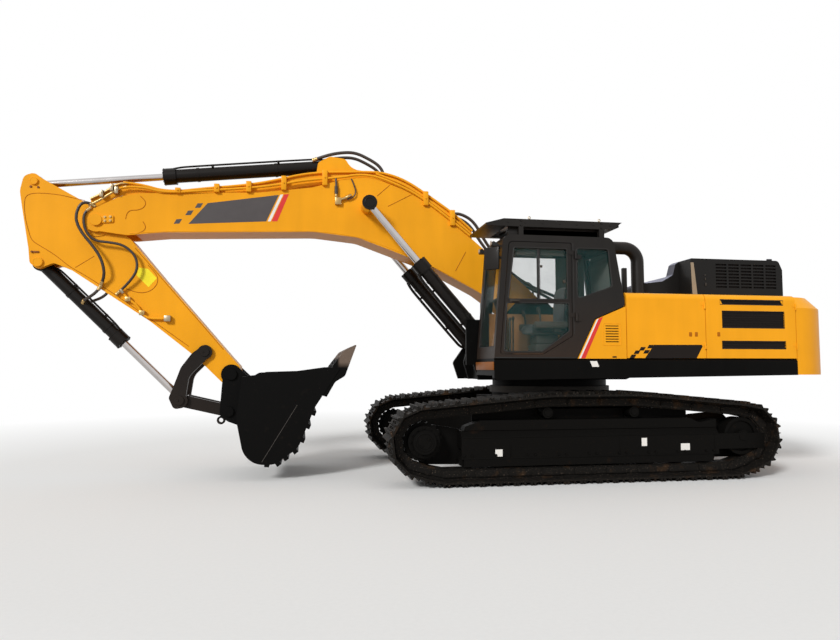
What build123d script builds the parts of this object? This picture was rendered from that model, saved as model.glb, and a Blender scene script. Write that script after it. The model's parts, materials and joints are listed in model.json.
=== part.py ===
from build123d import *
import math
import os

# Crawler excavator, millimetres. +X is forward to the boom, +Y the cab side, +Z up.
# The origin is on the ground under the middle of the slew ring.

# Track and wheels
track_gauge = 2600
shoe_width = 600
shoe_count = 50
wheel_x = 2100
wheel_z = 520
wheel_reach = 450
end_roller_x = 1880
carrier_xs = (530, -620)
track_top_z = 1110
grouser_height = 36
shoe_plate = 24
link_height = 130
chain_width = 200
roller_radius = 100
carrier_radius = 66
roller_count = 9
roller_first_x = -1620
roller_last_x = 1560
roller_shaft_radius = 40
seat_gap = 0.4

# Side frames of the undercarriage
frame_inner_y = 1160
frame_outer_y = 1440
frame_front_x = 1640
frame_rear_x = -1750
frame_bottom_z = 300
frame_top_z = 640
frame_shoulder_z = 560
frame_plate = 25
roller_channel_z = 425
hub_radius = 190
hub_outer_y = 1520
yoke_low_z = 364
yoke_high_z = 559
yoke_end_x = -2400
yoke_plate = 32
filler_low_z = 215
filler_y = 1190
roller_guard_z = 212

# Car body and slew ring
car_half_length = 900
car_half_width = 700
car_bottom_z = 520
car_top_z = 1000
leg_bottom_z = 400
leg_top_z = 700
tow_x = 990
tow_z = 620
tow_plate = 50
tow_hole = 35
ring_radius = 850
ring_bore = 640
ring_low_z = 1060
ring_split_z = 1150
upper_ring_radius = 810

# Revolving frame
base_low_z = 1240
base_plate = 50
base_half_width = 625
deck_z = 1515
deck_plate = 20
web_inner_y = 250
web_outer_y = 310
ear_inner_y = 580
ear_outer_y = 625
guard_plate_front_x = 1376
guard_plate_top_z = 2045
nose_x = 1080
rear_low_z = 1320
house_half_width = 1490
house_rear_x = -2890
deck_front_x = 1240
right_front_x = 840
skirt_front_low_z = 1250
skirt_rear_low_z = 1306
skirt_depth = 90

# Working equipment, pins as (x, z)
boom_foot = (350, 2200)
boom_lift_base = (984, 1652)
boom_lift_pin = (2674, 3596)
arm_pin = (6170, 3300)
arm_lift_base = (3100, 4230)
arm_lift_pin = (6950, 3790)
bucket_lift_base = (6865, 2745)
guide_pin = (4790, 1607)
common_pin = (5090, 977)
link_pin = (4470, 830)
bucket_pin = (4450, 1315)
pin_fit = 0.05
side_play = 5

# Boom box
boom_half_width = 245
boom_plate = 30
boom_foot_radius = 225
boom_foot_pin_radius = 70
arm_pin_radius = 60
fork_inner_y = 198
fork_back_x = 5690

# Arm box and linkage
arm_half_width = 180
arm_plate = 28
arm_boss_half_width = 193
link_inner_y = 186
link_outer_y = 232
fork_gap = 98
link_pin_radius = 45
bucket_pin_radius = 50

# Boom cylinders
lift_y = 485
lift_eye_half = 88
lift_barrel_radius = 88
lift_rod_radius = 50
lift_gland = 1560
lift_eye_radius = 125
lift_pin_radius = 55

# Arm and bucket cylinders
arm_barrel_radius = 90
arm_rod_radius = 46
arm_gland = 2310
arm_eye_radius = 112
bracket_inner_y = 105
bracket_outer_y = 165
bucket_barrel_radius = 82
bucket_rod_radius = 48
bucket_gland = 1440
bucket_eye_radius = 100
cylinder_pin_radius = 50
cylinder_eye_half = 92
rod_bore_play = 0.1
collar = 22

# Bucket
bucket_half_width = 740
bucket_plate = 32
tooth_count = 5
tooth_width = 110

# Cab
cab_inner_y = 640
cab_wall = 55
cab_floor = 45
glass = 12
door_gap = 8
door_thickness = 45
guard_low_z = 3150
guard_depth = 95
hinge_play = 0.3

# House
house_top_z = 2355
panel = 40
shoulder = 80
seam = 10
first_seam_x = -487
second_seam_x = -1580
hood_left_y = 1000
hood_right_y = -950
hood_top_z = 2900
hood_low_top_z = 2700
hood_split_y = 520
hood_rear_x = -3095
hood_plate = 30
weight_rear_x = -3550
weight_low_z = 1310
weight_top_z = 2350
weight_corner = 600


def at_side(y):
    """The upright plane across the machine at y, drawn on in x and z."""
    return Plane.XZ.offset(-y)


def side_slab(rows, y_low, y_high, mode=Mode.ADD):
    """A slab with a side outline of rows (x, z, corner radius), between two y."""
    with BuildSketch(at_side(y_high)) as profile:
        with BuildLine():
            FilletPolyline(
                *[(x, z) for x, z, radius in rows],
                radius=[radius for x, z, radius in rows],
                close=True,
            )
        make_face()
    extrude(profile.sketch, amount=y_high - y_low, mode=mode)


def side_disc(centre, radius, y_low, y_high, mode=Mode.ADD):
    """A disc or a bore across the machine about a pin at (x, z)."""
    with BuildSketch(at_side(y_high)) as profile:
        with Locations(centre):
            Circle(radius)
    extrude(profile.sketch, amount=y_high - y_low, mode=mode)


def block(x_low, x_high, y_low, y_high, z_low, z_high, mode=Mode.ADD):
    """A block between two corners."""
    middle = ((x_low + x_high) / 2, (y_low + y_high) / 2, (z_low + z_high) / 2)
    with Locations(middle):
        Box(x_high - x_low, y_high - y_low, z_high - z_low, mode=mode)


def upright(x, y, radius, z_low, z_high, mode=Mode.ADD):
    """An upright round bar."""
    with Locations((x, y, (z_low + z_high) / 2)):
        Cylinder(radius, z_high - z_low, mode=mode)


def along(base, tip, y, start, end, radius, mode=Mode.ADD):
    """A round bar on the line from base to tip at y, from start to end along it."""
    length = math.dist(base, tip)
    run = ((tip[0] - base[0]) / length, (tip[1] - base[1]) / length)
    origin = (base[0] + run[0] * start, y, base[1] + run[1] * start)
    plane = Plane(origin=origin, x_dir=(0, 1, 0), z_dir=(run[0], 0, run[1]))
    with BuildSketch(plane) as profile:
        Circle(radius)
    extrude(profile.sketch, amount=end - start, mode=mode)


def save(builder, name):
    """Labels a finished piece and writes its file."""
    builder.part.label = name
    export_step(builder.part, f"parts/{name}.step")


os.makedirs("parts", exist_ok=True)

# Track loop: its pins lie on a belt round the wheels and the end rollers

pin_depth = grouser_height + shoe_plate + link_height / 2
roller_z = roller_radius + link_height + shoe_plate + grouser_height
carrier_reach = 265
belt = [
    # x, z, reach to the grouser tips
    (wheel_x, wheel_z, wheel_reach),
    (carrier_xs[0], track_top_z - carrier_reach, carrier_reach),
    (carrier_xs[1], track_top_z - carrier_reach, carrier_reach),
    (-wheel_x, wheel_z, wheel_reach),
    (-end_roller_x, roller_z, roller_z),
    (end_roller_x, roller_z, roller_z),
]


def belt_runs():
    """The belt's straight runs at the depth of the pins, as pairs of points."""
    runs = []
    for (x0, z0, r0), (x1, z1, r1) in zip(belt, belt[1:] + belt[:1]):
        length = math.hypot(x1 - x0, z1 - z0)
        heading = math.atan2(z1 - z0, x1 - x0)
        lean = heading - math.acos((r0 - r1) / length)
        normal = (math.cos(lean), math.sin(lean))
        runs.append(
            tuple(
                (x + normal[0] * (r - pin_depth), z + normal[1] * (r - pin_depth))
                for x, z, r in ((x0, z0, r0), (x1, z1, r1))
            )
        )
    return runs


def belt_pins():
    """The track's pins, evenly spaced round the belt."""
    runs = belt_runs()
    pieces = []
    for number, (start, end) in enumerate(runs):
        pieces.append(("run", start, end, math.dist(start, end)))
        x, z, reach = belt[(number + 1) % len(belt)]
        following = runs[(number + 1) % len(runs)][0]
        first = math.atan2(end[1] - z, end[0] - x)
        turn = (math.atan2(following[1] - z, following[0] - x) - first) % (2 * math.pi)
        pieces.append(("arc", (x, z, first), turn, (reach - pin_depth) * turn))
    total = sum(piece[3] for piece in pieces)
    pins = []
    for number in range(shoe_count):
        left = total * number / shoe_count
        for kind, start, end, length in pieces:
            if left > length:
                left -= length
                continue
            share = left / length
            if kind == "run":
                pins.append(
                    (
                        start[0] + (end[0] - start[0]) * share,
                        start[1] + (end[1] - start[1]) * share,
                    )
                )
            else:
                x, z, first = start
                radius = length / end
                angle = first + end * share
                pins.append((x + radius * math.cos(angle), z + radius * math.sin(angle)))
            break
    return pins


pins = belt_pins()
plate_in = link_height / 2
plate_out = plate_in + shoe_plate
tip_out = plate_out + grouser_height
notch_out = plate_in + shoe_plate / 2
shoe_profile = [
    # share of the pitch, height over the pins
    (0.05, tip_out),
    (0.13, tip_out),
    (0.18, plate_out),
    (0.45, plate_out),
    (0.50, tip_out - 4),
    (0.55, plate_out),
    (0.82, plate_out),
    (0.87, tip_out),
    (0.95, tip_out),
]


def corner_point(number, height):
    """Where two neighbouring links' lines at a height over the pins meet."""
    before = pins[number - 1]
    here = pins[number]
    after = pins[(number + 1) % len(pins)]
    first = math.atan2(here[1] - before[1], here[0] - before[0])
    second = math.atan2(after[1] - here[1], after[0] - here[0])
    turn = (second - first + math.pi) % (2 * math.pi) - math.pi
    out = first + turn / 2 - math.pi / 2
    reach = height / math.cos(turn / 2)
    return (here[0] + reach * math.cos(out), here[1] + reach * math.sin(out))


def shoe_points(number):
    """The outline of one shoe from its first notch."""
    here = pins[number]
    after = pins[(number + 1) % len(pins)]
    pitch = math.dist(here, after)
    run = ((after[0] - here[0]) / pitch, (after[1] - here[1]) / pitch)
    out = (run[1], -run[0])
    points = [corner_point(number, notch_out)]
    for share, height in shoe_profile:
        points.append(
            (
                here[0] + run[0] * share * pitch + out[0] * height,
                here[1] + run[1] * share * pitch + out[1] * height,
            )
        )
    return points


shoe_outline = [point for number in range(shoe_count) for point in shoe_points(number)]
plate_outline = [corner_point(number, plate_in) for number in range(shoe_count)]
chain_outline = [corner_point(number, -plate_in) for number in range(shoe_count)]
half_pitch = math.dist(pins[0], pins[1]) / 2
wheel_pin_reach = wheel_reach - pin_depth
wheel_radius = (
    wheel_pin_reach * math.cos(math.asin(half_pitch / wheel_pin_reach))
    - plate_in
    - 2
)


def polygon_slab(points, y_low, y_high, mode=Mode.ADD):
    """A slab across the machine with straight-sided corners."""
    with BuildSketch(at_side(y_high)) as profile:
        with BuildLine():
            Polyline(*points, close=True)
        make_face()
    extrude(profile.sketch, amount=y_high - y_low, mode=mode)


track_y = track_gauge / 2
with BuildPart() as track_left:
    polygon_slab(shoe_outline, track_y - shoe_width / 2, track_y + shoe_width / 2)
    polygon_slab(
        plate_outline,
        track_y - shoe_width / 2,
        track_y + shoe_width / 2,
        Mode.SUBTRACT,
    )
    polygon_slab(plate_outline, track_y - chain_width / 2, track_y + chain_width / 2)
    polygon_slab(
        chain_outline,
        track_y - chain_width / 2,
        track_y + chain_width / 2,
        Mode.SUBTRACT,
    )
save(track_left, "track_left")

with BuildPart() as track_right:
    mirror(track_left.part, about=Plane.XZ)
save(track_right, "track_right")

# Side frames with the roller channel below and the final drive's plate in front

drive_plate_y = track_y - chain_width / 2 - side_play
with BuildPart() as track_frame_left:
    with BuildSketch(Plane.YZ.offset(frame_rear_x)) as section:
        with BuildLine():
            Polyline(
                (frame_inner_y, frame_bottom_z),
                (frame_outer_y, frame_bottom_z),
                (frame_outer_y, frame_shoulder_z),
                (frame_outer_y - 65, frame_top_z),
                (frame_inner_y, frame_top_z),
                close=True,
            )
        make_face()
    extrude(section.sketch, amount=frame_front_x - frame_rear_x)
    block(
        frame_rear_x,
        frame_front_x,
        frame_inner_y + frame_plate,
        frame_outer_y - frame_plate,
        frame_bottom_z,
        roller_channel_z,
        Mode.SUBTRACT,
    )
    side_slab(
        [
            # x, z, corner radius
            (frame_front_x - 200, frame_bottom_z + 40, 0),
            (frame_front_x - 20, frame_bottom_z + 40, 0),
            (frame_front_x - 20, filler_low_z, 0),
            (wheel_x, filler_low_z + 10, 120),
            (wheel_x + hub_radius, wheel_z, 120),
            (wheel_x, wheel_z + hub_radius + 20, 120),
            (frame_front_x - 200, frame_top_z - 20, 0),
        ],
        frame_inner_y - 5,
        drive_plate_y,
    )
    block(
        frame_front_x - 260,
        frame_front_x - 200,
        frame_inner_y - 5,
        frame_inner_y,
        frame_bottom_z + 40,
        frame_top_z - 20,
    )
    side_slab(
        [
            # x, z, corner radius
            (frame_rear_x, frame_top_z, 0),
            (frame_rear_x, frame_top_z + 105, 0),
            (-1510, frame_top_z + 60, 0),
            (-1380, frame_top_z + 120, 0),
            (1380, frame_top_z + 120, 0),
            (1580, frame_top_z + 50, 0),
            (1600, frame_top_z, 0),
        ],
        track_y - 90,
        track_y + 90,
    )
    for x_low, x_high in (
        (-1450, carrier_xs[1] - 55),
        (carrier_xs[1] + 55, carrier_xs[0] - 55),
        (carrier_xs[0] + 55, 1450),
    ):
        block(x_low, x_high, frame_inner_y + 5, filler_y, frame_top_z, frame_top_z + 240)
    block(
        frame_rear_x + 80,
        frame_front_x - 30,
        frame_outer_y - frame_plate,
        frame_outer_y,
        roller_guard_z,
        frame_bottom_z,
    )
save(track_frame_left, "track_frame_left")

with BuildPart() as track_frame_right:
    mirror(track_frame_left.part, about=Plane.XZ)
save(track_frame_right, "track_frame_right")

# Sprockets with their hubs, two alike

tooth_total = 18
with BuildPart() as sprockets:
    side_disc((wheel_x, wheel_z), hub_radius, drive_plate_y, hub_outer_y - 60)
    side_disc((wheel_x, wheel_z), hub_radius - 50, hub_outer_y - 60, hub_outer_y)
    side_disc((wheel_x, wheel_z), wheel_radius, track_y - 45, track_y + 45)
    for tooth in range(tooth_total):
        angle = 2 * math.pi * tooth / tooth_total
        notch = (
            wheel_x + (wheel_radius + 8) * math.cos(angle),
            wheel_z + (wheel_radius + 8) * math.sin(angle),
        )
        side_disc(notch, 27, track_y - 45, track_y + 45, Mode.SUBTRACT)
    mirror(about=Plane.XZ)
save(sprockets, "sprockets")

# Idlers in their yokes

with BuildPart() as idlers:
    idler = (-wheel_x, wheel_z)
    yoke_z = (yoke_low_z + yoke_high_z) / 2
    side_disc(idler, wheel_radius, track_y - 92, track_y + 92)
    side_disc(idler, wheel_radius - 45, track_y + 62, track_y + 92, Mode.SUBTRACT)
    side_disc(idler, wheel_radius - 45, track_y - 92, track_y - 62, Mode.SUBTRACT)
    side_disc(idler, 78, frame_inner_y + 5, frame_outer_y - 5)
    for inner_y in (frame_inner_y, frame_outer_y - yoke_plate):
        block(yoke_end_x, frame_rear_x, inner_y, inner_y + yoke_plate, yoke_low_z, yoke_high_z)
    block(
        -wheel_x - 230,
        frame_rear_x,
        frame_inner_y,
        frame_inner_y + yoke_plate,
        filler_low_z + 15,
        frame_top_z + 90,
    )
    mirror(about=Plane.XZ)
save(idlers, "idlers")

# Bottom rollers in the channel and carrier rollers on the frame's top

with BuildPart() as track_rollers:
    for number in range(roller_count):
        share = number / (roller_count - 1)
        centre = (roller_first_x + (roller_last_x - roller_first_x) * share, roller_z)
        tread = roller_radius - seat_gap
        side_disc(centre, tread, track_y - 90, track_y + 90)
        side_disc(
            centre,
            roller_shaft_radius,
            frame_inner_y + frame_plate,
            frame_outer_y - frame_plate,
        )
    for x in carrier_xs:
        centre = (x, track_top_z - carrier_reach)
        side_disc(centre, carrier_radius, track_y - 88, track_y + 88)
        side_disc(centre, 34, frame_inner_y + 5, track_y - 88)
        block(
            x - 45,
            x + 45,
            frame_inner_y + 5,
            frame_inner_y + 38,
            frame_top_z,
            centre[1] + 50,
        )
    mirror(about=Plane.XZ)
save(track_rollers, "track_rollers")

# Car body: a box with four spread legs, and the drum under the slew ring

with BuildPart() as car_body:
    block(
        -car_half_length,
        car_half_length,
        -car_half_width,
        car_half_width,
        car_bottom_z,
        car_top_z,
    )
    for way in (1, -1):
        with BuildSketch(Plane.XY.offset(leg_bottom_z)) as leg:
            with BuildLine():
                Polyline(
                    (way * 200, car_half_width - 150),
                    (way * car_half_length, car_half_width - 150),
                    (way * 1250, frame_inner_y),
                    (way * 620, frame_inner_y),
                    close=True,
                )
            make_face()
            mirror(about=Plane.XZ)
        extrude(leg.sketch, amount=leg_top_z - leg_bottom_z)
    with Locations((0, 0, (car_top_z + ring_low_z) / 2)):
        Cylinder(ring_radius - 30, ring_low_z - car_top_z)
    for way in (1, -1):
        low, high = sorted((way * car_half_length, way * tow_x))
        tow_low_z = tow_z - tow_plate / 2
        tow_high_z = tow_z + tow_plate / 2
        block(low, high, -70, 70, tow_low_z, tow_high_z)
        upright(way * tow_x, 0, 70, tow_low_z, tow_high_z)
        upright(way * tow_x, 0, tow_hole, tow_low_z, tow_high_z, Mode.SUBTRACT)
save(car_body, "car_body")

with BuildPart() as slew_ring:
    with Locations((0, 0, (ring_low_z + ring_split_z) / 2)):
        Cylinder(ring_radius, ring_split_z - ring_low_z)
        Cylinder(ring_bore, ring_split_z - ring_low_z, mode=Mode.SUBTRACT)
save(slew_ring, "slew_ring")

# Revolving frame: base plate, two webs that rise to the boom foot, and the lift ears

web_rows = [
    # x, z, corner radius
    (house_rear_x, rear_low_z, 0),
    (house_rear_x, deck_z, 0),
    (-720, deck_z, 160),
    (150, 2360, 60),
    (560, 2330, 60),
    (1130, 1730, 90),
    (1200, 1480, 60),
    (1130, base_low_z, 0),
    (-900, base_low_z, 0),
    (-1100, rear_low_z, 0),
]
base_rows = [
    (nose_x, base_low_z, 0),
    (nose_x, base_low_z + base_plate, 0),
    (-880, base_low_z + base_plate, 0),
    (-1080, rear_low_z + base_plate, 0),
    (house_rear_x, rear_low_z + base_plate, 0),
    (house_rear_x, rear_low_z, 0),
    (-1100, rear_low_z, 0),
    (-900, base_low_z, 0),
]
ear_rows = [
    (760, base_low_z, 0),
    (830, 1690, 80),
    (990, 1800, 90),
    (1135, 1700, 90),
    (1290, 1480, 60),
    (1210, base_low_z, 0),
]
with BuildPart() as main_frame:
    with Locations((0, 0, (ring_split_z + seat_gap + base_low_z) / 2)):
        Cylinder(upper_ring_radius, base_low_z - ring_split_z - seat_gap)
        Cylinder(ring_bore, base_low_z - ring_split_z - seat_gap, mode=Mode.SUBTRACT)
    side_slab(base_rows, -base_half_width, base_half_width)
    block(nose_x - 300, nose_x, -ear_inner_y, ear_inner_y, base_low_z, 1400)
    for way in (1, -1):
        low, high = sorted((way * web_inner_y, way * web_outer_y))
        side_slab(web_rows, low, high)
        low, high = sorted((way * ear_inner_y, way * ear_outer_y))
        side_slab(ear_rows, low, high)
        low, high = sorted((way * web_outer_y, way * ear_inner_y))
        side_disc(boom_lift_base, lift_pin_radius, low, high)
    block(
        guard_plate_front_x - 210,
        guard_plate_front_x,
        ear_inner_y,
        ear_outer_y,
        1440,
        guard_plate_top_z,
    )
    side_disc(boom_foot, boom_foot_pin_radius, -web_outer_y, web_outer_y)
    side_disc(boom_foot, 100, web_outer_y, web_outer_y + 14)
    side_disc(boom_foot, 100, -web_outer_y - 14, -web_outer_y)
save(main_frame, "main_frame")

# Side decks with their deep black edge beams

skirt_rows = [
    (deck_front_x, skirt_front_low_z, 30),
    (deck_front_x, deck_z, 0),
    (house_rear_x, deck_z, 0),
    (house_rear_x, skirt_rear_low_z, 0),
]
rib_count = 7
with BuildPart() as deck_left:
    side_slab(skirt_rows, house_half_width - skirt_depth, house_half_width)
    chamfer(
        deck_left.edges()
        .filter_by(Axis.X)
        .group_by(Axis.Y)[-1]
        .sort_by(Axis.Z)[-1:],
        length=25,
    )
    block(
        house_rear_x,
        deck_front_x,
        base_half_width,
        house_half_width - skirt_depth,
        deck_z - deck_plate,
        deck_z,
    )
    for number in range(rib_count):
        x = house_rear_x + (deck_front_x - 20 - house_rear_x) * number / (rib_count - 1)
        block(
            x,
            x + 20,
            base_half_width,
            house_half_width - skirt_depth,
            skirt_rear_low_z,
            deck_z - deck_plate,
        )
save(deck_left, "deck_left")

with BuildPart() as deck_right:
    mirror(deck_left.part, about=Plane.XZ)
    block(right_front_x, 2000, -2000, 0, 1000, 2000, Mode.SUBTRACT)
save(deck_right, "deck_right")

# Cab shell: one side outline hollowed, with its windows and its door cut

cab_front_low_x = 1238
cab_front_high_x = 1115
cab_roof_z = 3045


def cab_front_x(z):
    """The cab's front face at a height."""
    share = (z - deck_z) / (cab_roof_z - deck_z)
    return cab_front_low_x + (cab_front_high_x - cab_front_low_x) * share


cab_rows = [
    (cab_front_low_x, deck_z, 0),
    (cab_front_high_x, cab_roof_z, 110),
    (-330, cab_roof_z, 110),
    (-467, 2240, 40),
    (-466, 2180, 40),
    (-70, 2014, 30),
    (178, deck_z, 0),
]
room_rows = [
    (cab_front_low_x - 65, deck_z + cab_floor, 0),
    (cab_front_high_x - 57, cab_roof_z - 60, 80),
    (-282, cab_roof_z - 60, 80),
    (-406, 2250, 0),
    (-404, 2222, 0),
    (-24, 2062, 0),
    (230, deck_z + cab_floor, 0),
]
door_hole_rows = [
    (1165, 1565, 30),
    (1045, 2962, 60),
    (228, 2962, 30),
    (228, 1790, 30),
    (612, 1565, 30),
]
side_pane_rows = [
    (162, 2898, 40),
    (-262, 2898, 40),
    (-310, 2420, 40),
    (162, 2255, 40),
]
right_pane_rows = [
    (1060, 1900, 40),
    (955, 2898, 40),
    (-262, 2898, 40),
    (-340, 2300, 40),
    (60, 2120, 40),
    (520, 1900, 40),
]
screen_low_z = 1660
screen_high_z = 2910
screen_low_y = cab_inner_y + 75
screen_high_y = house_half_width - 75
rear_pane_low_z = 2340
rear_pane_high_z = 2890


def cab_rear_x(z):
    """The cab's rear face at a height."""
    return -467 + (z - 2240) * (467 - 330) / (cab_roof_z - 2240)


hinge_x = 180
hinge_y = house_half_width + 18
hinge_zs = (1980, 2760)
knuckle = 18
with BuildPart() as cab_shell:
    side_slab(cab_rows, cab_inner_y, house_half_width)
    side_slab(
        room_rows,
        cab_inner_y + cab_wall,
        house_half_width - cab_wall,
        Mode.SUBTRACT,
    )
    side_slab(
        door_hole_rows,
        house_half_width - cab_wall,
        house_half_width,
        Mode.SUBTRACT,
    )
    side_slab(
        side_pane_rows,
        house_half_width - cab_wall,
        house_half_width,
        Mode.SUBTRACT,
    )
    side_slab(right_pane_rows, cab_inner_y, cab_inner_y + cab_wall, Mode.SUBTRACT)
    block(930, 1300, screen_low_y, screen_high_y, screen_low_z, screen_high_z, Mode.SUBTRACT)
    block(
        -500,
        -260,
        screen_low_y,
        screen_high_y,
        rear_pane_low_z,
        rear_pane_high_z,
        Mode.SUBTRACT,
    )
    for z in hinge_zs:
        upright(hinge_x, hinge_y, knuckle, z, z + 50)
        upright(hinge_x, hinge_y, 8, z + 50, z + 100)
        block(hinge_x - 70, hinge_x, house_half_width, house_half_width + 10, z, z + 50)
    block(
        -250,
        830,
        cab_inner_y + 80,
        house_half_width - 80,
        cab_roof_z - 10,
        guard_low_z - 25,
    )
save(cab_shell, "cab_shell")

with BuildPart() as cab_glass:
    side_slab(
        [
            (cab_front_x(screen_low_z) - 20, screen_low_z, 0),
            (cab_front_x(screen_high_z) - 20, screen_high_z, 0),
            (cab_front_x(screen_high_z) - 20 - glass, screen_high_z, 0),
            (cab_front_x(screen_low_z) - 20 - glass, screen_low_z, 0),
        ],
        screen_low_y,
        screen_high_y,
    )
    side_slab(
        [
            (cab_rear_x(rear_pane_low_z) + 20, rear_pane_low_z, 0),
            (cab_rear_x(rear_pane_high_z) + 20, rear_pane_high_z, 0),
            (cab_rear_x(rear_pane_high_z) + 20 + glass, rear_pane_high_z, 0),
            (cab_rear_x(rear_pane_low_z) + 20 + glass, rear_pane_low_z, 0),
        ],
        screen_low_y,
        screen_high_y,
    )
    side_slab(side_pane_rows, house_half_width - 30, house_half_width - 30 + glass)
    side_slab(right_pane_rows, cab_inner_y + 20, cab_inner_y + 20 + glass)
save(cab_glass, "cab_glass")

# Cab door: the door hole's outline drawn in, with two panes

door_pane_rows = [
    # upper pane
    [(1058, 2240, 30), (978, 2885, 30), (287, 2885, 30), (287, 2248, 30)],
    # lower pane
    [
        (1115, 1598, 30),
        (1075, 2198, 30),
        (272, 2205, 30),
        (272, 1853, 30),
        (628, 1598, 30),
    ],
]
with BuildPart() as cab_door:
    with BuildSketch(at_side(house_half_width)) as door_face:
        with BuildLine():
            FilletPolyline(
                *[(x, z) for x, z, radius in door_hole_rows],
                radius=[radius for x, z, radius in door_hole_rows],
                close=True,
            )
        make_face()
        offset(amount=-door_gap, kind=Kind.INTERSECTION, mode=Mode.REPLACE)
    extrude(door_face.sketch, amount=door_thickness)
    for rows in door_pane_rows:
        side_slab(
            rows,
            house_half_width - door_thickness,
            house_half_width,
            Mode.SUBTRACT,
        )
    for z in hinge_zs:
        upright(hinge_x, hinge_y, knuckle, z + 50 + hinge_play, z + 100)
        block(
            hinge_x,
            hinge_x + 100,
            house_half_width,
            house_half_width + 10,
            z + 50 + hinge_play,
            z + 100,
        )
        upright(hinge_x, hinge_y, 8 + pin_fit, z + 50, z + 100, Mode.SUBTRACT)
    block(925, 1015, house_half_width, house_half_width + 28, 2208, 2232)
save(cab_door, "cab_door")

with BuildPart() as door_glass:
    for rows in door_pane_rows:
        side_slab(rows, house_half_width - 28, house_half_width - 28 + glass)
save(door_glass, "door_glass")

# Operator's seat and controls on the cab floor

room_floor_z = deck_z + cab_floor
seat_y = (cab_inner_y + house_half_width) / 2 - 5
seat_half_width = 240
rest_width = 90
with BuildPart() as operator_seat:
    block(260, 620, seat_y - 160, seat_y + 160, room_floor_z, room_floor_z + 260)
    side_slab(
        [
            (150, 1960, 40),
            (690, 1960, 50),
            (700, 1820, 40),
            (230, 1820, 40),
        ],
        seat_y - seat_half_width,
        seat_y + seat_half_width,
    )
    side_slab(
        [
            (125, 2460, 40),
            (215, 2460, 40),
            (290, 1940, 30),
            (170, 1940, 30),
        ],
        seat_y - seat_half_width + 20,
        seat_y + seat_half_width - 20,
    )
    for way in (1, -1):
        low, high = sorted((way * (seat_half_width + 10), way * (seat_half_width + 10 + rest_width)))
        block(180, 700, seat_y + low, seat_y + high, 1850, 1990)
        low, high = sorted((way * (seat_half_width - 40), way * (seat_half_width + 60)))
        block(300, 420, seat_y + low, seat_y + high, 1850, 1900)
    block(880, 980, cab_inner_y + cab_wall + 25, seat_y - 200, room_floor_z, 2120)
    for y in (seat_y - 80, seat_y + 50):
        block(850, 1000, y - 45, y + 45, room_floor_z, room_floor_z + 60)
        upright(880, y, 12, room_floor_z + 60, 2060)
save(operator_seat, "operator_seat")

# Roof guard on four posts, with slats and a sloping visor

guard_high_z = guard_low_z + guard_depth
guard_low_y = cab_inner_y + 10
guard_high_y = house_half_width - 10
slat_count = 11
visor_rows = [
    (1060, guard_high_z, 0),
    (1098, guard_high_z, 60),
    (1327, guard_high_z - 62, 0),
    (1327, guard_high_z - 90, 0),
    (1060, guard_low_z, 0),
]
with BuildPart() as roof_guard:
    for low in (guard_low_y, guard_high_y - 60):
        side_slab(
            [
                (1080, guard_low_z, 0),
                (1080, guard_high_z, 0),
                (-460, guard_high_z, 0),
                (-330, guard_low_z, 0),
            ],
            low,
            low + 60,
        )
    side_slab(visor_rows, guard_low_y, guard_high_y)
    for number in range(slat_count):
        x = -420 + 1480 * number / (slat_count - 1)
        block(x - 25, x + 25, guard_low_y + 60, guard_high_y - 60, guard_high_z - 50, guard_high_z)
    for x in (-180, 880):
        for y in (guard_low_y + 30, guard_high_y - 30):
            block(x - 30, x + 30, y - 30, y + 30, cab_roof_z, guard_low_z)
save(roof_guard, "roof_guard")

# House: the fixed panel behind the cab, then the covers and walls that carry the doors

with BuildPart() as side_panel:
    side_slab(
        [
            (166, deck_z, 0),
            (-79, 2004, 30),
            (-468, 2168, 10),
            (first_seam_x + seam / 2, 2172, 0),
            (first_seam_x + seam / 2, deck_z, 0),
        ],
        house_half_width - 50,
        house_half_width,
    )
    for number in range(7):
        z = 1720 + 33 * number
        block(-380, -205, house_half_width - 50, house_half_width, z, z + 12, Mode.SUBTRACT)
save(side_panel, "side_panel")

cover_low_z = house_top_z - panel
lip_y = house_half_width - shoulder
wall_shoulder_z = house_top_z - shoulder - 10
wall_xs = [
    # low, high of each wall across the house
    (first_seam_x - 35, first_seam_x + 5),
    (second_seam_x - 12, second_seam_x + 12),
    (house_rear_x, house_rear_x + 25),
]
bay_hinge_y = house_half_width + 10
bay_hinge_zs = (1640, 2160)


def bay_hinges(x, leaf_x, mode_fixed):
    """The hinge barrels of a house door with pins at x and leaves out of the seam at leaf_x."""
    for z in bay_hinge_zs:
        if mode_fixed:
            upright(x, bay_hinge_y, 9, z, z + 40)
            upright(x, bay_hinge_y, 4, z + 40, z + 80)
            block(leaf_x - 2, leaf_x + 2, lip_y + 30, bay_hinge_y, z, z + 40)
            block(leaf_x - 2, x, bay_hinge_y - 6, bay_hinge_y, z, z + 40)
        else:
            upright(x, bay_hinge_y, 9, z + 40 + hinge_play, z + 80)
            block(
                x,
                x + 45,
                house_half_width,
                house_half_width + 4,
                z + 40 + hinge_play,
                z + 80,
            )
            upright(x, bay_hinge_y, 4 + pin_fit, z + 40, z + 80, Mode.SUBTRACT)


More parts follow.
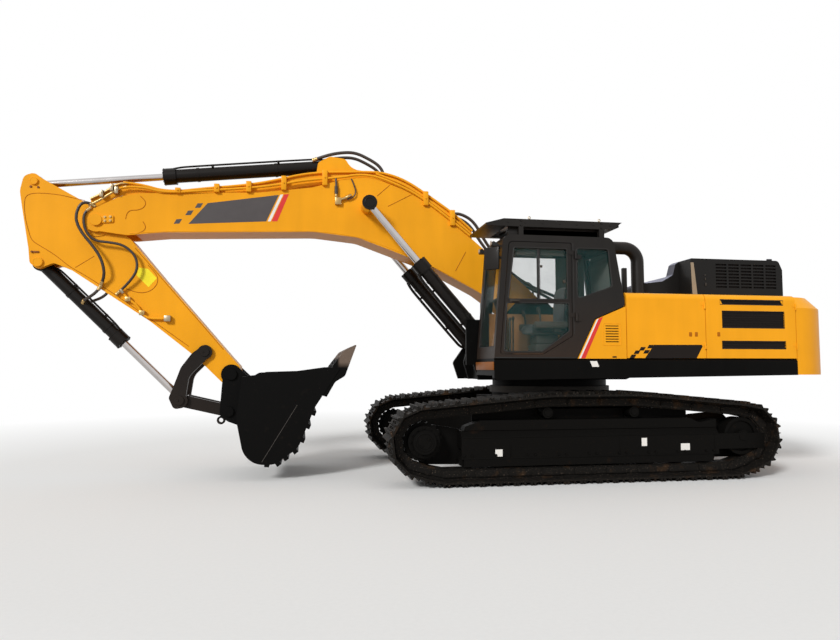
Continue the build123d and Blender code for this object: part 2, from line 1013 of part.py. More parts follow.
bay_hinge_xs = (second_seam_x + 16, house_rear_x + 5)
bay_leaf_xs = (second_seam_x, house_rear_x + 5)
with BuildPart() as house_frame:
    block(
        house_rear_x,
        first_seam_x + 5,
        hood_left_y - 400,
        lip_y - door_gap,
        cover_low_z,
        house_top_z,
    )
    block(
        house_rear_x,
        -1205,
        -lip_y + door_gap,
        hood_right_y + 390,
        cover_low_z,
        house_top_z,
    )
    block(-1205, first_seam_x + 5, -560, hood_left_y - 400, cover_low_z, house_top_z)
    for low, high in wall_xs:
        block(low, high, 700, lip_y - door_gap, deck_z, cover_low_z)
        block(low, high, lip_y - door_gap, lip_y + 30, deck_z, wall_shoulder_z)
    for low, high in wall_xs[1:]:
        block(low, high, -lip_y + door_gap, -700, deck_z, cover_low_z)
        block(low, high, -lip_y - 30, -lip_y + door_gap, deck_z, wall_shoulder_z)
    block(wall_xs[0][0], wall_xs[0][1], -560, 700, 1790, cover_low_z)
    with BuildPart(mode=Mode.PRIVATE) as rear_post:
        bay_hinges(bay_hinge_xs[1], bay_leaf_xs[1], True)
    for x, leaf_x in zip(bay_hinge_xs, bay_leaf_xs):
        bay_hinges(x, leaf_x, True)
    mirror(rear_post.part, about=Plane.XZ)
save(house_frame, "house_frame")


def door_section(offset_x):
    """The bent cross-section of a house door, drawn at an x."""
    inner = shoulder - panel
    with BuildSketch(Plane.YZ.offset(offset_x)) as section:
        with BuildLine():
            Polyline(
                (house_half_width - panel, deck_z + door_gap),
                (house_half_width, deck_z + door_gap),
                (house_half_width, house_top_z - shoulder),
            )
            RadiusArc(
                (house_half_width, house_top_z - shoulder),
                (lip_y, house_top_z),
                -shoulder,
            )
            Line((lip_y, house_top_z), (lip_y, cover_low_z))
            RadiusArc(
                (lip_y, cover_low_z),
                (house_half_width - panel, house_top_z - shoulder),
                inner,
            )
            Line(
                (house_half_width - panel, house_top_z - shoulder),
                (house_half_width - panel, deck_z + door_gap),
            )
        make_face()
    return section.sketch


grille_rows = [
    # x low, x high, z low, z high
    (-2700, -1790, 2222, 2284),
    (-2715, -1815, 1918, 2136),
    (-2725, -1805, 1647, 1746),
]
with BuildPart() as service_door:
    low_x = second_seam_x + seam / 2
    high_x = first_seam_x - seam / 2
    extrude(door_section(low_x), amount=high_x - low_x)
    bay_hinges(bay_hinge_xs[0], bay_leaf_xs[0], False)
save(service_door, "service_door")

with BuildPart() as cooler_door:
    low_x = house_rear_x + seam
    high_x = second_seam_x - seam / 2
    extrude(door_section(low_x), amount=high_x - low_x)
    for x_low, x_high, z_low, z_high in grille_rows:
        block(
            x_low,
            x_high,
            house_half_width - 18,
            house_half_width,
            z_low,
            z_high,
            Mode.SUBTRACT,
        )
    bay_hinges(bay_hinge_xs[1], bay_leaf_xs[1], False)
save(cooler_door, "cooler_door")

with BuildPart() as pump_door:
    mirror(cooler_door.part, about=Plane.XZ)
save(pump_door, "pump_door")

# Right side: tool box with steps, fuel tank, hydraulic tank and a fixed panel

step_high_y = house_half_width - 90
step_low_y = step_high_y - 400
with BuildPart() as tool_box:
    side_slab(
        [(380, deck_z, 0), (690, deck_z, 20), (690, 2150, 60), (380, 2150, 0)],
        -house_half_width + 10,
        -700,
    )
    for z in (1640, 1890):
        block(690, 830, -step_high_y, -step_low_y, z, z + 30)
        block(690, 830, -step_high_y, -step_high_y + 15, z + 30, z + 90)
        block(690, 830, -step_low_y - 15, -step_low_y, z + 30, z + 90)
save(tool_box, "tool_box")

with BuildPart() as fuel_tank:
    side_slab(
        [
            (-360, deck_z, 0),
            (370, deck_z, 0),
            (370, house_top_z, 60),
            (-360, house_top_z, 0),
        ],
        -house_half_width + 10,
        -700,
    )
save(fuel_tank, "fuel_tank")

with BuildPart() as hydraulic_tank:
    block(-1200, -370, -house_half_width + 10, -700, deck_z, house_top_z)
save(hydraulic_tank, "hydraulic_tank")

with BuildPart() as right_panel:
    extrude(door_section(second_seam_x + seam / 2), amount=-1210 - second_seam_x - seam / 2)
    mirror(about=Plane.XZ)
    block(-3000, 0, 0, 2000, 0, 3000, Mode.SUBTRACT)
    block(-1560, -1215, -house_half_width + panel, -700, deck_z, deck_z + 30)
    block(
        -1560,
        -1215,
        -house_half_width + 2,
        -house_half_width + panel,
        deck_z,
        deck_z + door_gap,
    )
save(right_panel, "right_panel")

# Engine as one block on the webs

with BuildPart() as engine:
    block(-2650, -1250, -430, 430, deck_z, 2250)
save(engine, "engine")

# Hood over the engine, hinged at its rear

hood_rows = [
    (hood_rear_x, house_top_z, 0),
    (hood_rear_x, hood_top_z - 130, 60),
    (hood_rear_x + 60, hood_top_z, 60),
    (-1700, hood_top_z, 40),
    (-1645, hood_top_z - 38, 20),
    (-1600, hood_top_z - 195, 40),
    (-1440, 2612, 60),
    (-1030, 2560, 60),
    (-1030, house_top_z, 0),
]
hood_room_rows = [
    (hood_rear_x + hood_plate, house_top_z, 0),
    (hood_rear_x + hood_plate, hood_top_z - 130, 40),
    (hood_rear_x + 75, hood_top_z - hood_plate, 30),
    (-1715, hood_top_z - hood_plate, 20),
    (-1675, hood_top_z - 62, 10),
    (-1630, hood_top_z - 212, 20),
    (-1455, 2582, 30),
    (-1060, 2530, 30),
    (-1060, house_top_z, 0),
]
hood_low_room_rows = [
    (hood_rear_x + hood_plate, house_top_z, 0),
    (hood_rear_x + hood_plate, hood_low_top_z - hood_plate, 0),
    (-1640, hood_low_top_z - hood_plate, 0),
    (-1455, 2582, 30),
    (-1060, 2530, 30),
    (-1060, house_top_z, 0),
]
hood_step_x = -1690
hood_step_left_y = 700
hood_step_right_y = -560
hood_columns = 5
hood_slats = 8
hood_hinge_x = hood_rear_x - 14
hood_hinge_z = house_top_z + 14
with BuildPart() as engine_hood:
    side_slab(hood_rows, hood_right_y, hood_left_y)
    block(
        hood_step_x,
        -1000,
        hood_step_left_y,
        hood_left_y,
        house_top_z - 10,
        hood_top_z + 10,
        Mode.SUBTRACT,
    )
    block(
        hood_step_x,
        -1000,
        hood_right_y,
        hood_step_right_y,
        house_top_z - 10,
        hood_top_z + 10,
        Mode.SUBTRACT,
    )
    block(
        hood_rear_x - 10,
        -1000,
        hood_right_y,
        hood_split_y,
        hood_low_top_z,
        hood_top_z + 10,
        Mode.SUBTRACT,
    )
    side_slab(
        hood_room_rows,
        hood_split_y + hood_plate,
        hood_step_left_y - hood_plate,
        Mode.SUBTRACT,
    )
    side_slab(
        hood_low_room_rows,
        hood_step_right_y + hood_plate,
        hood_split_y + hood_plate,
        Mode.SUBTRACT,
    )
    for y_low, y_high, z_high in (
        (hood_right_y + hood_plate, hood_split_y + hood_plate, hood_low_top_z - hood_plate),
        (hood_split_y + hood_plate, hood_left_y - hood_plate, hood_top_z - 135),
    ):
        block(
            hood_rear_x + hood_plate,
            hood_step_x - hood_plate,
            y_low,
            y_high,
            house_top_z,
            z_high,
            Mode.SUBTRACT,
        )
    for column in range(hood_columns):
        for slat in range(hood_slats):
            x = -2995 + 190 * column
            z = 2500 + 44 * slat
            block(x, x + 165, hood_left_y - hood_plate, hood_left_y, z, z + 26, Mode.SUBTRACT)
    for y in (-600, 500):
        side_disc((hood_hinge_x, hood_hinge_z), 12, y + 60 + hinge_play, y + 120)
        block(
            hood_hinge_x,
            hood_rear_x,
            y + 60 + hinge_play,
            y + 120,
            hood_hinge_z - 10,
            hood_hinge_z + 10,
        )
        side_disc(
            (hood_hinge_x, hood_hinge_z), 5 + pin_fit, y + 60, y + 120, Mode.SUBTRACT
        )
save(engine_hood, "engine_hood")

# Counterweight with rounded rear corners and a bevelled top edge

with BuildPart() as counterweight:
    with BuildSketch(Plane.XY.offset(weight_low_z)) as plan:
        with BuildLine():
            FilletPolyline(
                (house_rear_x, house_half_width),
                (weight_rear_x, house_half_width),
                (weight_rear_x, -house_half_width),
                (house_rear_x, -house_half_width),
                radius=[0, weight_corner, weight_corner, 0],
                close=True,
            )
        make_face()
    extrude(plan.sketch, amount=weight_top_z - weight_low_z)
    top_rim = (
        counterweight.edges()
        .group_by(Axis.Z)[-1]
        .filter_by(lambda edge: edge.center().X < house_rear_x - 1)
    )
    chamfer(top_rim, length=160, length2=150)
    for y in (-600, 500):
        side_disc((hood_hinge_x, hood_hinge_z), 12, y, y + 60)
        side_disc((hood_hinge_x, hood_hinge_z), 5, y + 60, y + 120)
        block(
            hood_hinge_x - 12, hood_hinge_x + 12, y, y + 60, weight_top_z, hood_hinge_z
        )
save(counterweight, "counterweight")

# Air pipe behind the cab and the exhaust on the right

pipe_radius = 86
with BuildPart() as intake_pipe:
    with BuildLine() as pipe_path:
        FilletPolyline(
            (-960, 900, house_top_z),
            (-960, 900, 3027),
            (-560, 900, 3027),
            radius=190,
        )
    with BuildSketch(Plane.XY.offset(house_top_z)) as pipe_ring:
        with Locations((-960, 900)):
            Circle(pipe_radius)
    sweep(pipe_ring.sketch, path=pipe_path.line)
save(intake_pipe, "intake_pipe")

with BuildPart() as exhaust:
    upright(-1430, -760, 70, house_top_z, 3000)
    upright(-1430, -760, 110, house_top_z + 60, 2640)
save(exhaust, "exhaust")

# Handrail on the right and the mirror at the cab's front

rail_radius = 17
rail_y = -house_half_width + 70
with BuildPart() as handrails:
    with BuildLine() as rail_path:
        FilletPolyline(
            (620, rail_y, 2150),
            (620, rail_y, 2830),
            (-280, rail_y, 2830),
            (-280, rail_y, house_top_z),
            radius=120,
        )
    with BuildSketch(Plane.XY.offset(2150)) as rail_ring:
        with Locations((620, rail_y)):
            Circle(rail_radius)
    sweep(rail_ring.sketch, path=rail_path.line)
    with BuildSketch(Plane.XY.offset(2620)) as mirror_plate:
        with Locations((1235, house_half_width - 90)):
            Rectangle(24, 190, rotation=45)
    extrude(mirror_plate.sketch, amount=250)
    block(cab_front_x(2750), 1195, house_half_width - 50, house_half_width - 30, 2750, 2770)
save(handrails, "handrails")

# Work lamps at the cab's front

with BuildPart() as work_lamps:
    for y in (cab_inner_y + 120, house_half_width - 160):
        side_slab(
            [
                (cab_front_x(2915), 2915, 0),
                (1225, 2915, 20),
                (1225, 2990, 20),
                (cab_front_x(2925), 2925, 0),
            ],
            y - 55,
            y + 55,
        )
save(work_lamps, "work_lamps")

# Boom: a bent box with closed walls, a fork at its tip and bosses at its pins

boom_rows = [
    # x, z, corner radius
    (202, 2370, 0),
    (700, 2800, 600),
    (1179, 3200, 600),
    (1653, 3610, 900),
    (2090, 3850, 700),
    (2620, 4035, 600),
    (3000, 3985, 300),
    (3427, 3850, 400),
    (4120, 3750, 700),
    (5620, 3675, 200),
    (5890, 3620, 200),
    (6240, 3430, 60),
    (6285, 3240, 60),
    (6200, 3165, 60),
    (5790, 3115, 200),
    (5337, 3167, 300),
    (3400, 3240, 900),
    (2800, 3180, 500),
    (1797, 2822, 900),
    (1096, 2460, 400),
    (459, 2003, 0),
]
boom_room_rows = [
    (760, 2800, 60),
    (1179, 3155, 560),
    (1670, 3575, 870),
    (2100, 3815, 670),
    (2620, 3998, 570),
    (2990, 3950, 270),
    (3420, 3816, 370),
    (4110, 3718, 670),
    (5580, 3642, 60),
    (5580, 3180, 60),
    (5340, 3202, 270),
    (3404, 3274, 870),
    (2792, 3214, 470),
    (1786, 2856, 870),
    (1000, 2440, 60),
]
with BuildPart() as boom:
    side_slab(boom_rows, -boom_half_width, boom_half_width)
    side_disc(boom_foot, boom_foot_radius, -boom_half_width, boom_half_width)
    side_disc(arm_pin, 150, -boom_half_width, boom_half_width)
    side_slab(
        boom_room_rows,
        -boom_half_width + boom_plate,
        boom_half_width - boom_plate,
        Mode.SUBTRACT,
    )
    block(fork_back_x, 6600, -fork_inner_y, fork_inner_y, 2800, 3900, Mode.SUBTRACT)
    side_disc(
        boom_foot,
        boom_foot_pin_radius + pin_fit,
        -boom_half_width,
        boom_half_width,
        Mode.SUBTRACT,
    )
    side_disc(arm_pin, arm_pin_radius, -boom_half_width - 14, boom_half_width + 14)
    for way in (1, -1):
        low, high = sorted((way * boom_half_width, way * (lift_y - lift_eye_half - side_play)))
        side_disc(boom_lift_pin, 92, low, high)
        low, high = sorted((way * bracket_inner_y, way * bracket_outer_y))
        side_slab(
            [
                (2440, 3950, 0),
                (2500, 4118, 30),
                (2890, 4155, 200),
                (2975, 4295, 80),
                (3190, 4320, 90),
                (3350, 4225, 60),
                (3420, 3780, 0),
            ],
            low,
            high,
        )
    side_disc(arm_lift_base, cylinder_pin_radius, -bracket_outer_y, bracket_outer_y)
save(boom, "boom")

# Arm: a box with a horn for its cylinder and bosses at its pins

arm_rows = [
    (6865, 3835, 80),
    (6950, 3905, 90),
    (7075, 3855, 90),
    (7114, 3660, 200),
    (7080, 3450, 300),
    (6985, 2920, 300),
    (6965, 2735, 60),
    (6870, 2655, 60),
    (6680, 2740, 60),
    (6463, 2652, 200),
    (5490, 2005, 900),
    (4900, 1535, 200),
    (4560, 1200, 60),
    (4330, 1240, 60),
    (4345, 1420, 60),
    (4440, 1525, 60),
    (5340, 2570, 900),
    (5745, 3060, 300),
    (6330, 3540, 200),
]
arm_room_rows = [
    (6900, 3020, 60),
    (6850, 3470, 60),
    (6350, 3470, 60),
    (6330, 3180, 60),
    (5960, 3100, 60),
    (5390, 2545, 300),
    (4860, 1920, 60),
    (4990, 1620, 60),
    (5470, 1995, 300),
    (6430, 2672, 200),
    (6560, 2720, 60),
    (6600, 2930, 60),
]
horn_slot_rows = [
    (6640, 4100, 0),
    (6640, 3560, 60),
    (7300, 3500, 0),
    (7300, 4100, 0),
]
foot_slot_rows = [
    (6640, 2860, 100),
    (7300, 3010, 0),
    (7300, 2400, 0),
    (6400, 2400, 0),
]
with BuildPart() as arm:
    side_slab(arm_rows, -arm_half_width, arm_half_width)
    side_disc(arm_pin, 200, -arm_boss_half_width, arm_boss_half_width)
    side_disc(guide_pin, 95, -arm_half_width, arm_half_width)
    side_disc(bucket_pin, 115, -arm_half_width, arm_half_width)
    side_slab(
        arm_room_rows,
        -arm_half_width + arm_plate,
        arm_half_width - arm_plate,
        Mode.SUBTRACT,
    )
    side_slab(horn_slot_rows, -fork_gap, fork_gap, Mode.SUBTRACT)
    side_slab(foot_slot_rows, -fork_gap, fork_gap, Mode.SUBTRACT)
    side_disc(
        arm_pin,
        arm_pin_radius + pin_fit,
        -arm_boss_half_width,
        arm_boss_half_width,
        Mode.SUBTRACT,
    )
    side_disc(
        bucket_pin,
        bucket_pin_radius + pin_fit,
        -arm_half_width,
        arm_half_width,
        Mode.SUBTRACT,
    )
    side_disc(guide_pin, link_pin_radius, -link_outer_y - 10, link_outer_y + 10)
    side_disc(bucket_lift_base, cylinder_pin_radius, -arm_half_width - 12, arm_half_width + 12)
save(arm, "arm")


def barrel(base, tip, y, radius, gland, rod_radius, bore_start, eye_radius, eye_half):
    """A cylinder barrel with its eye, its gland collar and the bore for its rod."""
    along(base, tip, y, 0, gland - 150, radius)
    along(base, tip, y, gland - 150, gland, radius + collar)
    side_disc(base, eye_radius, y - eye_half, y + eye_half)
    along(base, tip, y, bore_start, gland, rod_radius + rod_bore_play, Mode.SUBTRACT)


def rod(base, tip, y, start, radius, eye_radius, eye_half):
    """A cylinder rod from where it starts inside the barrel to its eye."""
    along(base, tip, y, start, math.dist(base, tip), radius)
    side_disc(tip, eye_radius, y - eye_half, y + eye_half)


lift_rod_start = 830
with BuildPart() as boom_barrels:
    for y in (lift_y, -lift_y):
        barrel(
            boom_lift_base,
            boom_lift_pin,
            y,
            lift_barrel_radius,
            lift_gland,
            lift_rod_radius,
            90,
            lift_eye_radius,
            lift_eye_half,
        )
        side_disc(
            boom_lift_base,
            lift_pin_radius + pin_fit,
            y - lift_eye_half,
            y + lift_eye_half,
            Mode.SUBTRACT,
        )
save(boom_barrels, "boom_barrels")

with BuildPart() as boom_rods:
    for y in (lift_y, -lift_y):
        rod(
            boom_lift_base,
            boom_lift_pin,
            y,
            lift_rod_start,
            lift_rod_radius,
            92,
            lift_eye_half,
        )
save(boom_rods, "boom_rods")

with BuildPart() as arm_barrel:
    barrel(
        arm_lift_base,
        arm_lift_pin,
        0,
        arm_barrel_radius,
        arm_gland,
        arm_rod_radius,
        180,
        arm_eye_radius,
        cylinder_eye_half,
    )
    side_disc(
        arm_lift_base,
        cylinder_pin_radius + pin_fit,
        -bracket_inner_y,
        bracket_inner_y,
        Mode.SUBTRACT,
    )
save(arm_barrel, "arm_barrel")

with BuildPart() as arm_rod:
    rod(arm_lift_base, arm_lift_pin, 0, 2050, arm_rod_radius, 95, cylinder_eye_half)
save(arm_rod, "arm_rod")

with BuildPart() as bucket_barrel:
    barrel(
        bucket_lift_base,
        common_pin,
        0,
        bucket_barrel_radius,
        bucket_gland,
        bucket_rod_radius,
        130,
        bucket_eye_radius,
        cylinder_eye_half,
    )
    side_disc(
        bucket_lift_base,
        cylinder_pin_radius + pin_fit,
        -cylinder_eye_half,
        cylinder_eye_half,
        Mode.SUBTRACT,
    )
save(bucket_barrel, "bucket_barrel")

with BuildPart() as bucket_rod:
    rod(bucket_lift_base, common_pin, 0, 980, bucket_rod_radius, 90, cylinder_eye_half)
save(bucket_rod, "bucket_rod")

# Guide links outside the arm and the bucket link between them

link_bow = (5055, 1330)
guide_rows = [
    (4700, 1665, 60),
    (4790, 1712, 60),
    (4950, 1590, 200),
    (5085, 1405, 200),
    (5160, 1190, 200),
    (5228, 1010, 60),
    (5160, 865, 60),
    (5078, 878, 40),
    (5020, 1000, 60),
    (4980, 1290, 200),
    (4720, 1560, 60),
]
with BuildPart() as guide_links:
    for way in (1, -1):
        low, high = sorted((way * link_inner_y, way * link_outer_y))
        side_slab(guide_rows, low, high)
        side_disc(guide_pin, 92, low, high)
        side_disc(common_pin, 100, low, high)
        side_disc(guide_pin, link_pin_radius + pin_fit, low, high, Mode.SUBTRACT)
        low, high = sorted((way * (fork_gap + 2), way * link_outer_y))
        side_disc(common_pin, link_pin_radius, low, high)
save(guide_links, "guide_links")

lift_eye = (4590, 705)
lift_eye_plate = 50
lift_eye_hole = 28
link_run = (
    (link_pin[0] - common_pin[0]) / math.dist(link_pin, common_pin),
    (link_pin[1] - common_pin[1]) / math.dist(link_pin, common_pin),
)
link_side = (-link_run[1] * 78, link_run[0] * 78)
with BuildPart() as bucket_link:
    for way in (1, -1):
        low, high = sorted((way * (fork_gap + 2), way * (link_inner_y - side_play)))
        polygon_slab(
            [
                (common_pin[0] + link_side[0], common_pin[1] + link_side[1]),
                (link_pin[0] + link_side[0], link_pin[1] + link_side[1]),
                (link_pin[0] - link_side[0], link_pin[1] - link_side[1]),
                (common_pin[0] - link_side[0], common_pin[1] - link_side[1]),
            ],
            low,
            high,
        )
        side_disc(common_pin, 95, low, high)
        side_disc(common_pin, link_pin_radius + pin_fit, low, high, Mode.SUBTRACT)
    side_disc(link_pin, 95, -link_inner_y + side_play, link_inner_y - side_play)
    side_slab(
        [
            (link_pin[0] - 60, link_pin[1] - 40, 0),
            (lift_eye[0] - 55, lift_eye[1], 0),
            (lift_eye[0] + 55, lift_eye[1], 0),
            (link_pin[0] + 80, link_pin[1], 0),
        ],
        -lift_eye_plate / 2,
        lift_eye_plate / 2,
    )
    side_disc(lift_eye, 55, -lift_eye_plate / 2, lift_eye_plate / 2)
    side_disc(lift_eye, lift_eye_hole, -lift_eye_plate / 2, lift_eye_plate / 2, Mode.SUBTRACT)
save(bucket_link, "bucket_link")

# Bucket: a curved shell between side plates, with ears, wear bars and teeth

shell_rows = [
    (3060, 1385, 0),
    (3370, 900, 260),
    (3570, 400, 260),
    (3850, 200, 200),
    (4175, 235, 250),
    (4253, 600, 0),
    (4300, 800, 300),
    (4270, 1290, 0),
]
shell_room_rows = [
    (3078, 1420, 0),
    (3110, 1372, 0),
    (3405, 912, 240),
    (3592, 432, 230),
    (3862, 237, 170),
    (4150, 268, 215),
    (4219, 610, 0),
    (4266, 800, 270),
    (4238, 1420, 0),
]
rim_rows = [
    (3060, 1385, 0),
    (3370, 900, 260),
    (3570, 400, 260),
    (3850, 200, 200),
    (4215, 200, 280),
    (4332, 760, 300),
    (4270, 1288, 0),
    (4150, 1288, 30),
    (4060, 1342, 80),
    (3600, 1356, 300),
    (3200, 1412, 60),
]
bucket_ear_rows = [
    (4180, 1240, 0),
    (4380, 1430, 100),
    (4550, 1370, 100),
    (4570, 1100, 200),
    (4590, 780, 100),
    (4480, 700, 90),
    (4270, 620, 0),
    (4262, 900, 0),
]
tooth_rows = [
    (3150, 1429, 0),
    (3000, 1626, 80),
    (2864, 1695, 0),
    (2850, 1686, 0),
    (2992, 1296, 60),
    (3115, 1222, 80),
    (3223, 1032, 0),
    (3280, 1050, 0),
]
wear_bars = [
    # number of the shell's side, share of its length
    (1, 0.13),
    (1, 0.46),
    (1, 0.8),
    (2, 0.16),
    (2, 0.57),
    (2, 0.9),
    (3, 0.31),
]
wear_bar_height = 40
wear_bar_width = 60


def wear_bar_place(side, share):
    """The plane on the outside of the shell where a wear bar is welded."""
    start = shell_rows[side]
    end = shell_rows[side + 1]
    length = math.dist(start[:2], end[:2])
    run = ((end[0] - start[0]) / length, (end[1] - start[1]) / length)
    out = (run[1], 0, -run[0])
    sunk = 10
    origin = (
        start[0] + run[0] * share * length - out[0] * sunk,
        0,
        start[1] + run[1] * share * length - out[2] * sunk,
    )
    return Plane(origin=origin, x_dir=(0, 1, 0), z_dir=out)


with BuildPart() as bucket:
    side_slab(shell_rows, -bucket_half_width, bucket_half_width)
    side_slab(rim_rows, -bucket_half_width, -bucket_half_width + bucket_plate)
    side_slab(rim_rows, bucket_half_width - bucket_plate, bucket_half_width)
    side_slab(
        shell_room_rows,
        -bucket_half_width + bucket_plate,
        bucket_half_width - bucket_plate,
        Mode.SUBTRACT,
    )
    for side, share in wear_bars:
        with BuildSketch(wear_bar_place(side, share)) as bar_foot:
            Rectangle(2 * bucket_half_width, wear_bar_width)
        extrude(bar_foot.sketch, amount=wear_bar_height + 10)
    for way in (1, -1):
        low, high = sorted((way * link_inner_y, way * link_outer_y))
        side_slab(bucket_ear_rows, low, high)
        side_disc(bucket_pin, 130, low, high)
        side_disc(link_pin, 115, low, high)
        side_disc(link_pin, 60, *sorted((way * link_outer_y, way * (link_outer_y + 25))))
    side_disc(bucket_pin, bucket_pin_radius, -link_outer_y - 14, link_outer_y + 14)
    span = 2 * (bucket_half_width - tooth_width / 2 - 10)
    for number in range(tooth_count):
        middle = -span / 2 + span * number / (tooth_count - 1)
        side_slab(tooth_rows, middle - tooth_width / 2, middle + tooth_width / 2)
save(bucket, "bucket")
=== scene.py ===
import json
import logging
import math
from dataclasses import dataclass, field
from enum import Enum
from typing import Iterable, Sequence, Union

import bmesh
import bpy
from mathutils import Matrix, Vector

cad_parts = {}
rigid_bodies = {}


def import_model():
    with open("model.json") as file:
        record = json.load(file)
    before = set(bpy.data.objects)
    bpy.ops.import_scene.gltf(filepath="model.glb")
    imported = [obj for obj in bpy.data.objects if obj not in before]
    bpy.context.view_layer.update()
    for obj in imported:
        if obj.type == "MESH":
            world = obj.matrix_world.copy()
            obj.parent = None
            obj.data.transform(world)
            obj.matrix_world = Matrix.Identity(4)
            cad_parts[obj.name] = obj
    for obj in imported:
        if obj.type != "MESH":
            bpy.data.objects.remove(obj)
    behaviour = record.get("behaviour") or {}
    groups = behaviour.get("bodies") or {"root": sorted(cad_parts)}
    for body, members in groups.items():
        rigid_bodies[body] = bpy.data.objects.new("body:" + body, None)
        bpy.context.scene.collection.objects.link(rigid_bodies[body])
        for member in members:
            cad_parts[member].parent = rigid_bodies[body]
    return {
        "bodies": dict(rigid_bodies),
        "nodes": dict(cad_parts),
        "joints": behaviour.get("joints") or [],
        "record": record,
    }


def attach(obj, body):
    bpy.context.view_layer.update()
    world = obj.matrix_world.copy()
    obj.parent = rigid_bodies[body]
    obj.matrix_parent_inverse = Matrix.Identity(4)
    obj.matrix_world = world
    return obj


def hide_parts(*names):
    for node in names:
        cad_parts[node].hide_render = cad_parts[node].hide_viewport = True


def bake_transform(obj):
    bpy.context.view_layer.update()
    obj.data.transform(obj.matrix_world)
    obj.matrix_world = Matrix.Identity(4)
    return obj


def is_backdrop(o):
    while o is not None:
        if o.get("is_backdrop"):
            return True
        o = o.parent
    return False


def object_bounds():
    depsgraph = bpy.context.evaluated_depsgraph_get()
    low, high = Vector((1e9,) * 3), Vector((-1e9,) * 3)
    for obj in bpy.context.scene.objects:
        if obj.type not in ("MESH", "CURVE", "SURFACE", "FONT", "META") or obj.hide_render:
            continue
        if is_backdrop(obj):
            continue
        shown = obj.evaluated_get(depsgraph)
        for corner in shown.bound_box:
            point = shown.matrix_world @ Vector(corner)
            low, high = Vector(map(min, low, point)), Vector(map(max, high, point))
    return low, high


log = logging.getLogger("excavator")

Point = tuple[float, float, float]
Pair = tuple[float, float]
Place = Union[Point, Vector]
Colour = tuple[float, float, float]

FULL_TURN = 2 * math.pi
OUT = (0, 1, 0)  # outwards on the machine's left side
UP = (0, 0, 1)


# ---------------------------------------------------------------- shader graphs


class Value:
    """A number socket that can stand in an expression; each operator adds a Math node."""

    def __init__(self, nodes: "Nodes", socket: bpy.types.NodeSocket) -> None:
        """Wraps one output socket of a node tree."""
        self.nodes = nodes
        self.socket = socket

    def _math(self, operation: str, left: "Number", right: "Number") -> "Value":
        """Adds one Math node and returns its output."""
        node = self.nodes.node("ShaderNodeMath", {"operation": operation}, {0: left, 1: right})
        return Value(self.nodes, node.outputs[0])

    def __add__(self, other: "Number") -> "Value":
        """self + other."""
        return self._math("ADD", self, other)

    def __radd__(self, other: float) -> "Value":
        """other + self."""
        return self._math("ADD", other, self)

    def __sub__(self, other: "Number") -> "Value":
        """self - other."""
        return self._math("SUBTRACT", self, other)

    def __rsub__(self, other: float) -> "Value":
        """other - self."""
        return self._math("SUBTRACT", other, self)

    def __mul__(self, other: "Number") -> "Value":
        """self * other."""
        return self._math("MULTIPLY", self, other)

    def either(self, other: "Value") -> "Value":
        """The larger of the two values."""
        return self._math("MAXIMUM", self, other)

    def clamp(self) -> "Value":
        """The value held between 0 and 1."""
        node = self.nodes.node("ShaderNodeClamp", {}, {0: self})
        return Value(self.nodes, node.outputs[0])


Number = Union[float, Value]


class Nodes:
    """A node tree whose nodes all come from one method."""

    def __init__(self, tree: bpy.types.NodeTree) -> None:
        """Takes over a tree and empties it."""
        self.tree = tree
        tree.nodes.clear()

    def node(self, kind: str, settings: dict, sockets: dict) -> bpy.types.Node:
        """Adds a node, sets it, then fills its sockets with values or links.

        Args:
            kind: The node's type.
            settings: Its properties.
            sockets: Values, Value objects or sockets by input name or number.

        Returns:
            The new node.
        """
        node = self.tree.nodes.new(kind)
        for key, value in settings.items():
            setattr(node, key, value)
        for key, value in sockets.items():
            target = node.inputs[key]
            if isinstance(value, Value):
                self.tree.links.new(value.socket, target)
            elif isinstance(value, bpy.types.NodeSocket):
                self.tree.links.new(value, target)
            elif isinstance(value, tuple) and target.type == "RGBA":
                target.default_value = (*value, 1.0)
            else:
                target.default_value = value
        return node

    def ray(self, kind: str) -> Value:
        """1 for rays of that kind, such as "Camera", and 0 for all others."""
        path = self.node("ShaderNodeLightPath", {}, {})
        return Value(self, path.outputs[f"Is {kind} Ray"])

    def blend(self, share: Value, first: bpy.types.Node, second: bpy.types.Node) -> bpy.types.Node:
        """Mixes two shaders by a share.

        Args:
            share: 0 for the first shader, 1 for the second.
            first: The first shader's node.
            second: The second shader's node.

        Returns:
            The mixing node.
        """
        return self.node(
            "ShaderNodeMixShader", {}, {0: share, 1: first.outputs[0], 2: second.outputs[0]}
        )


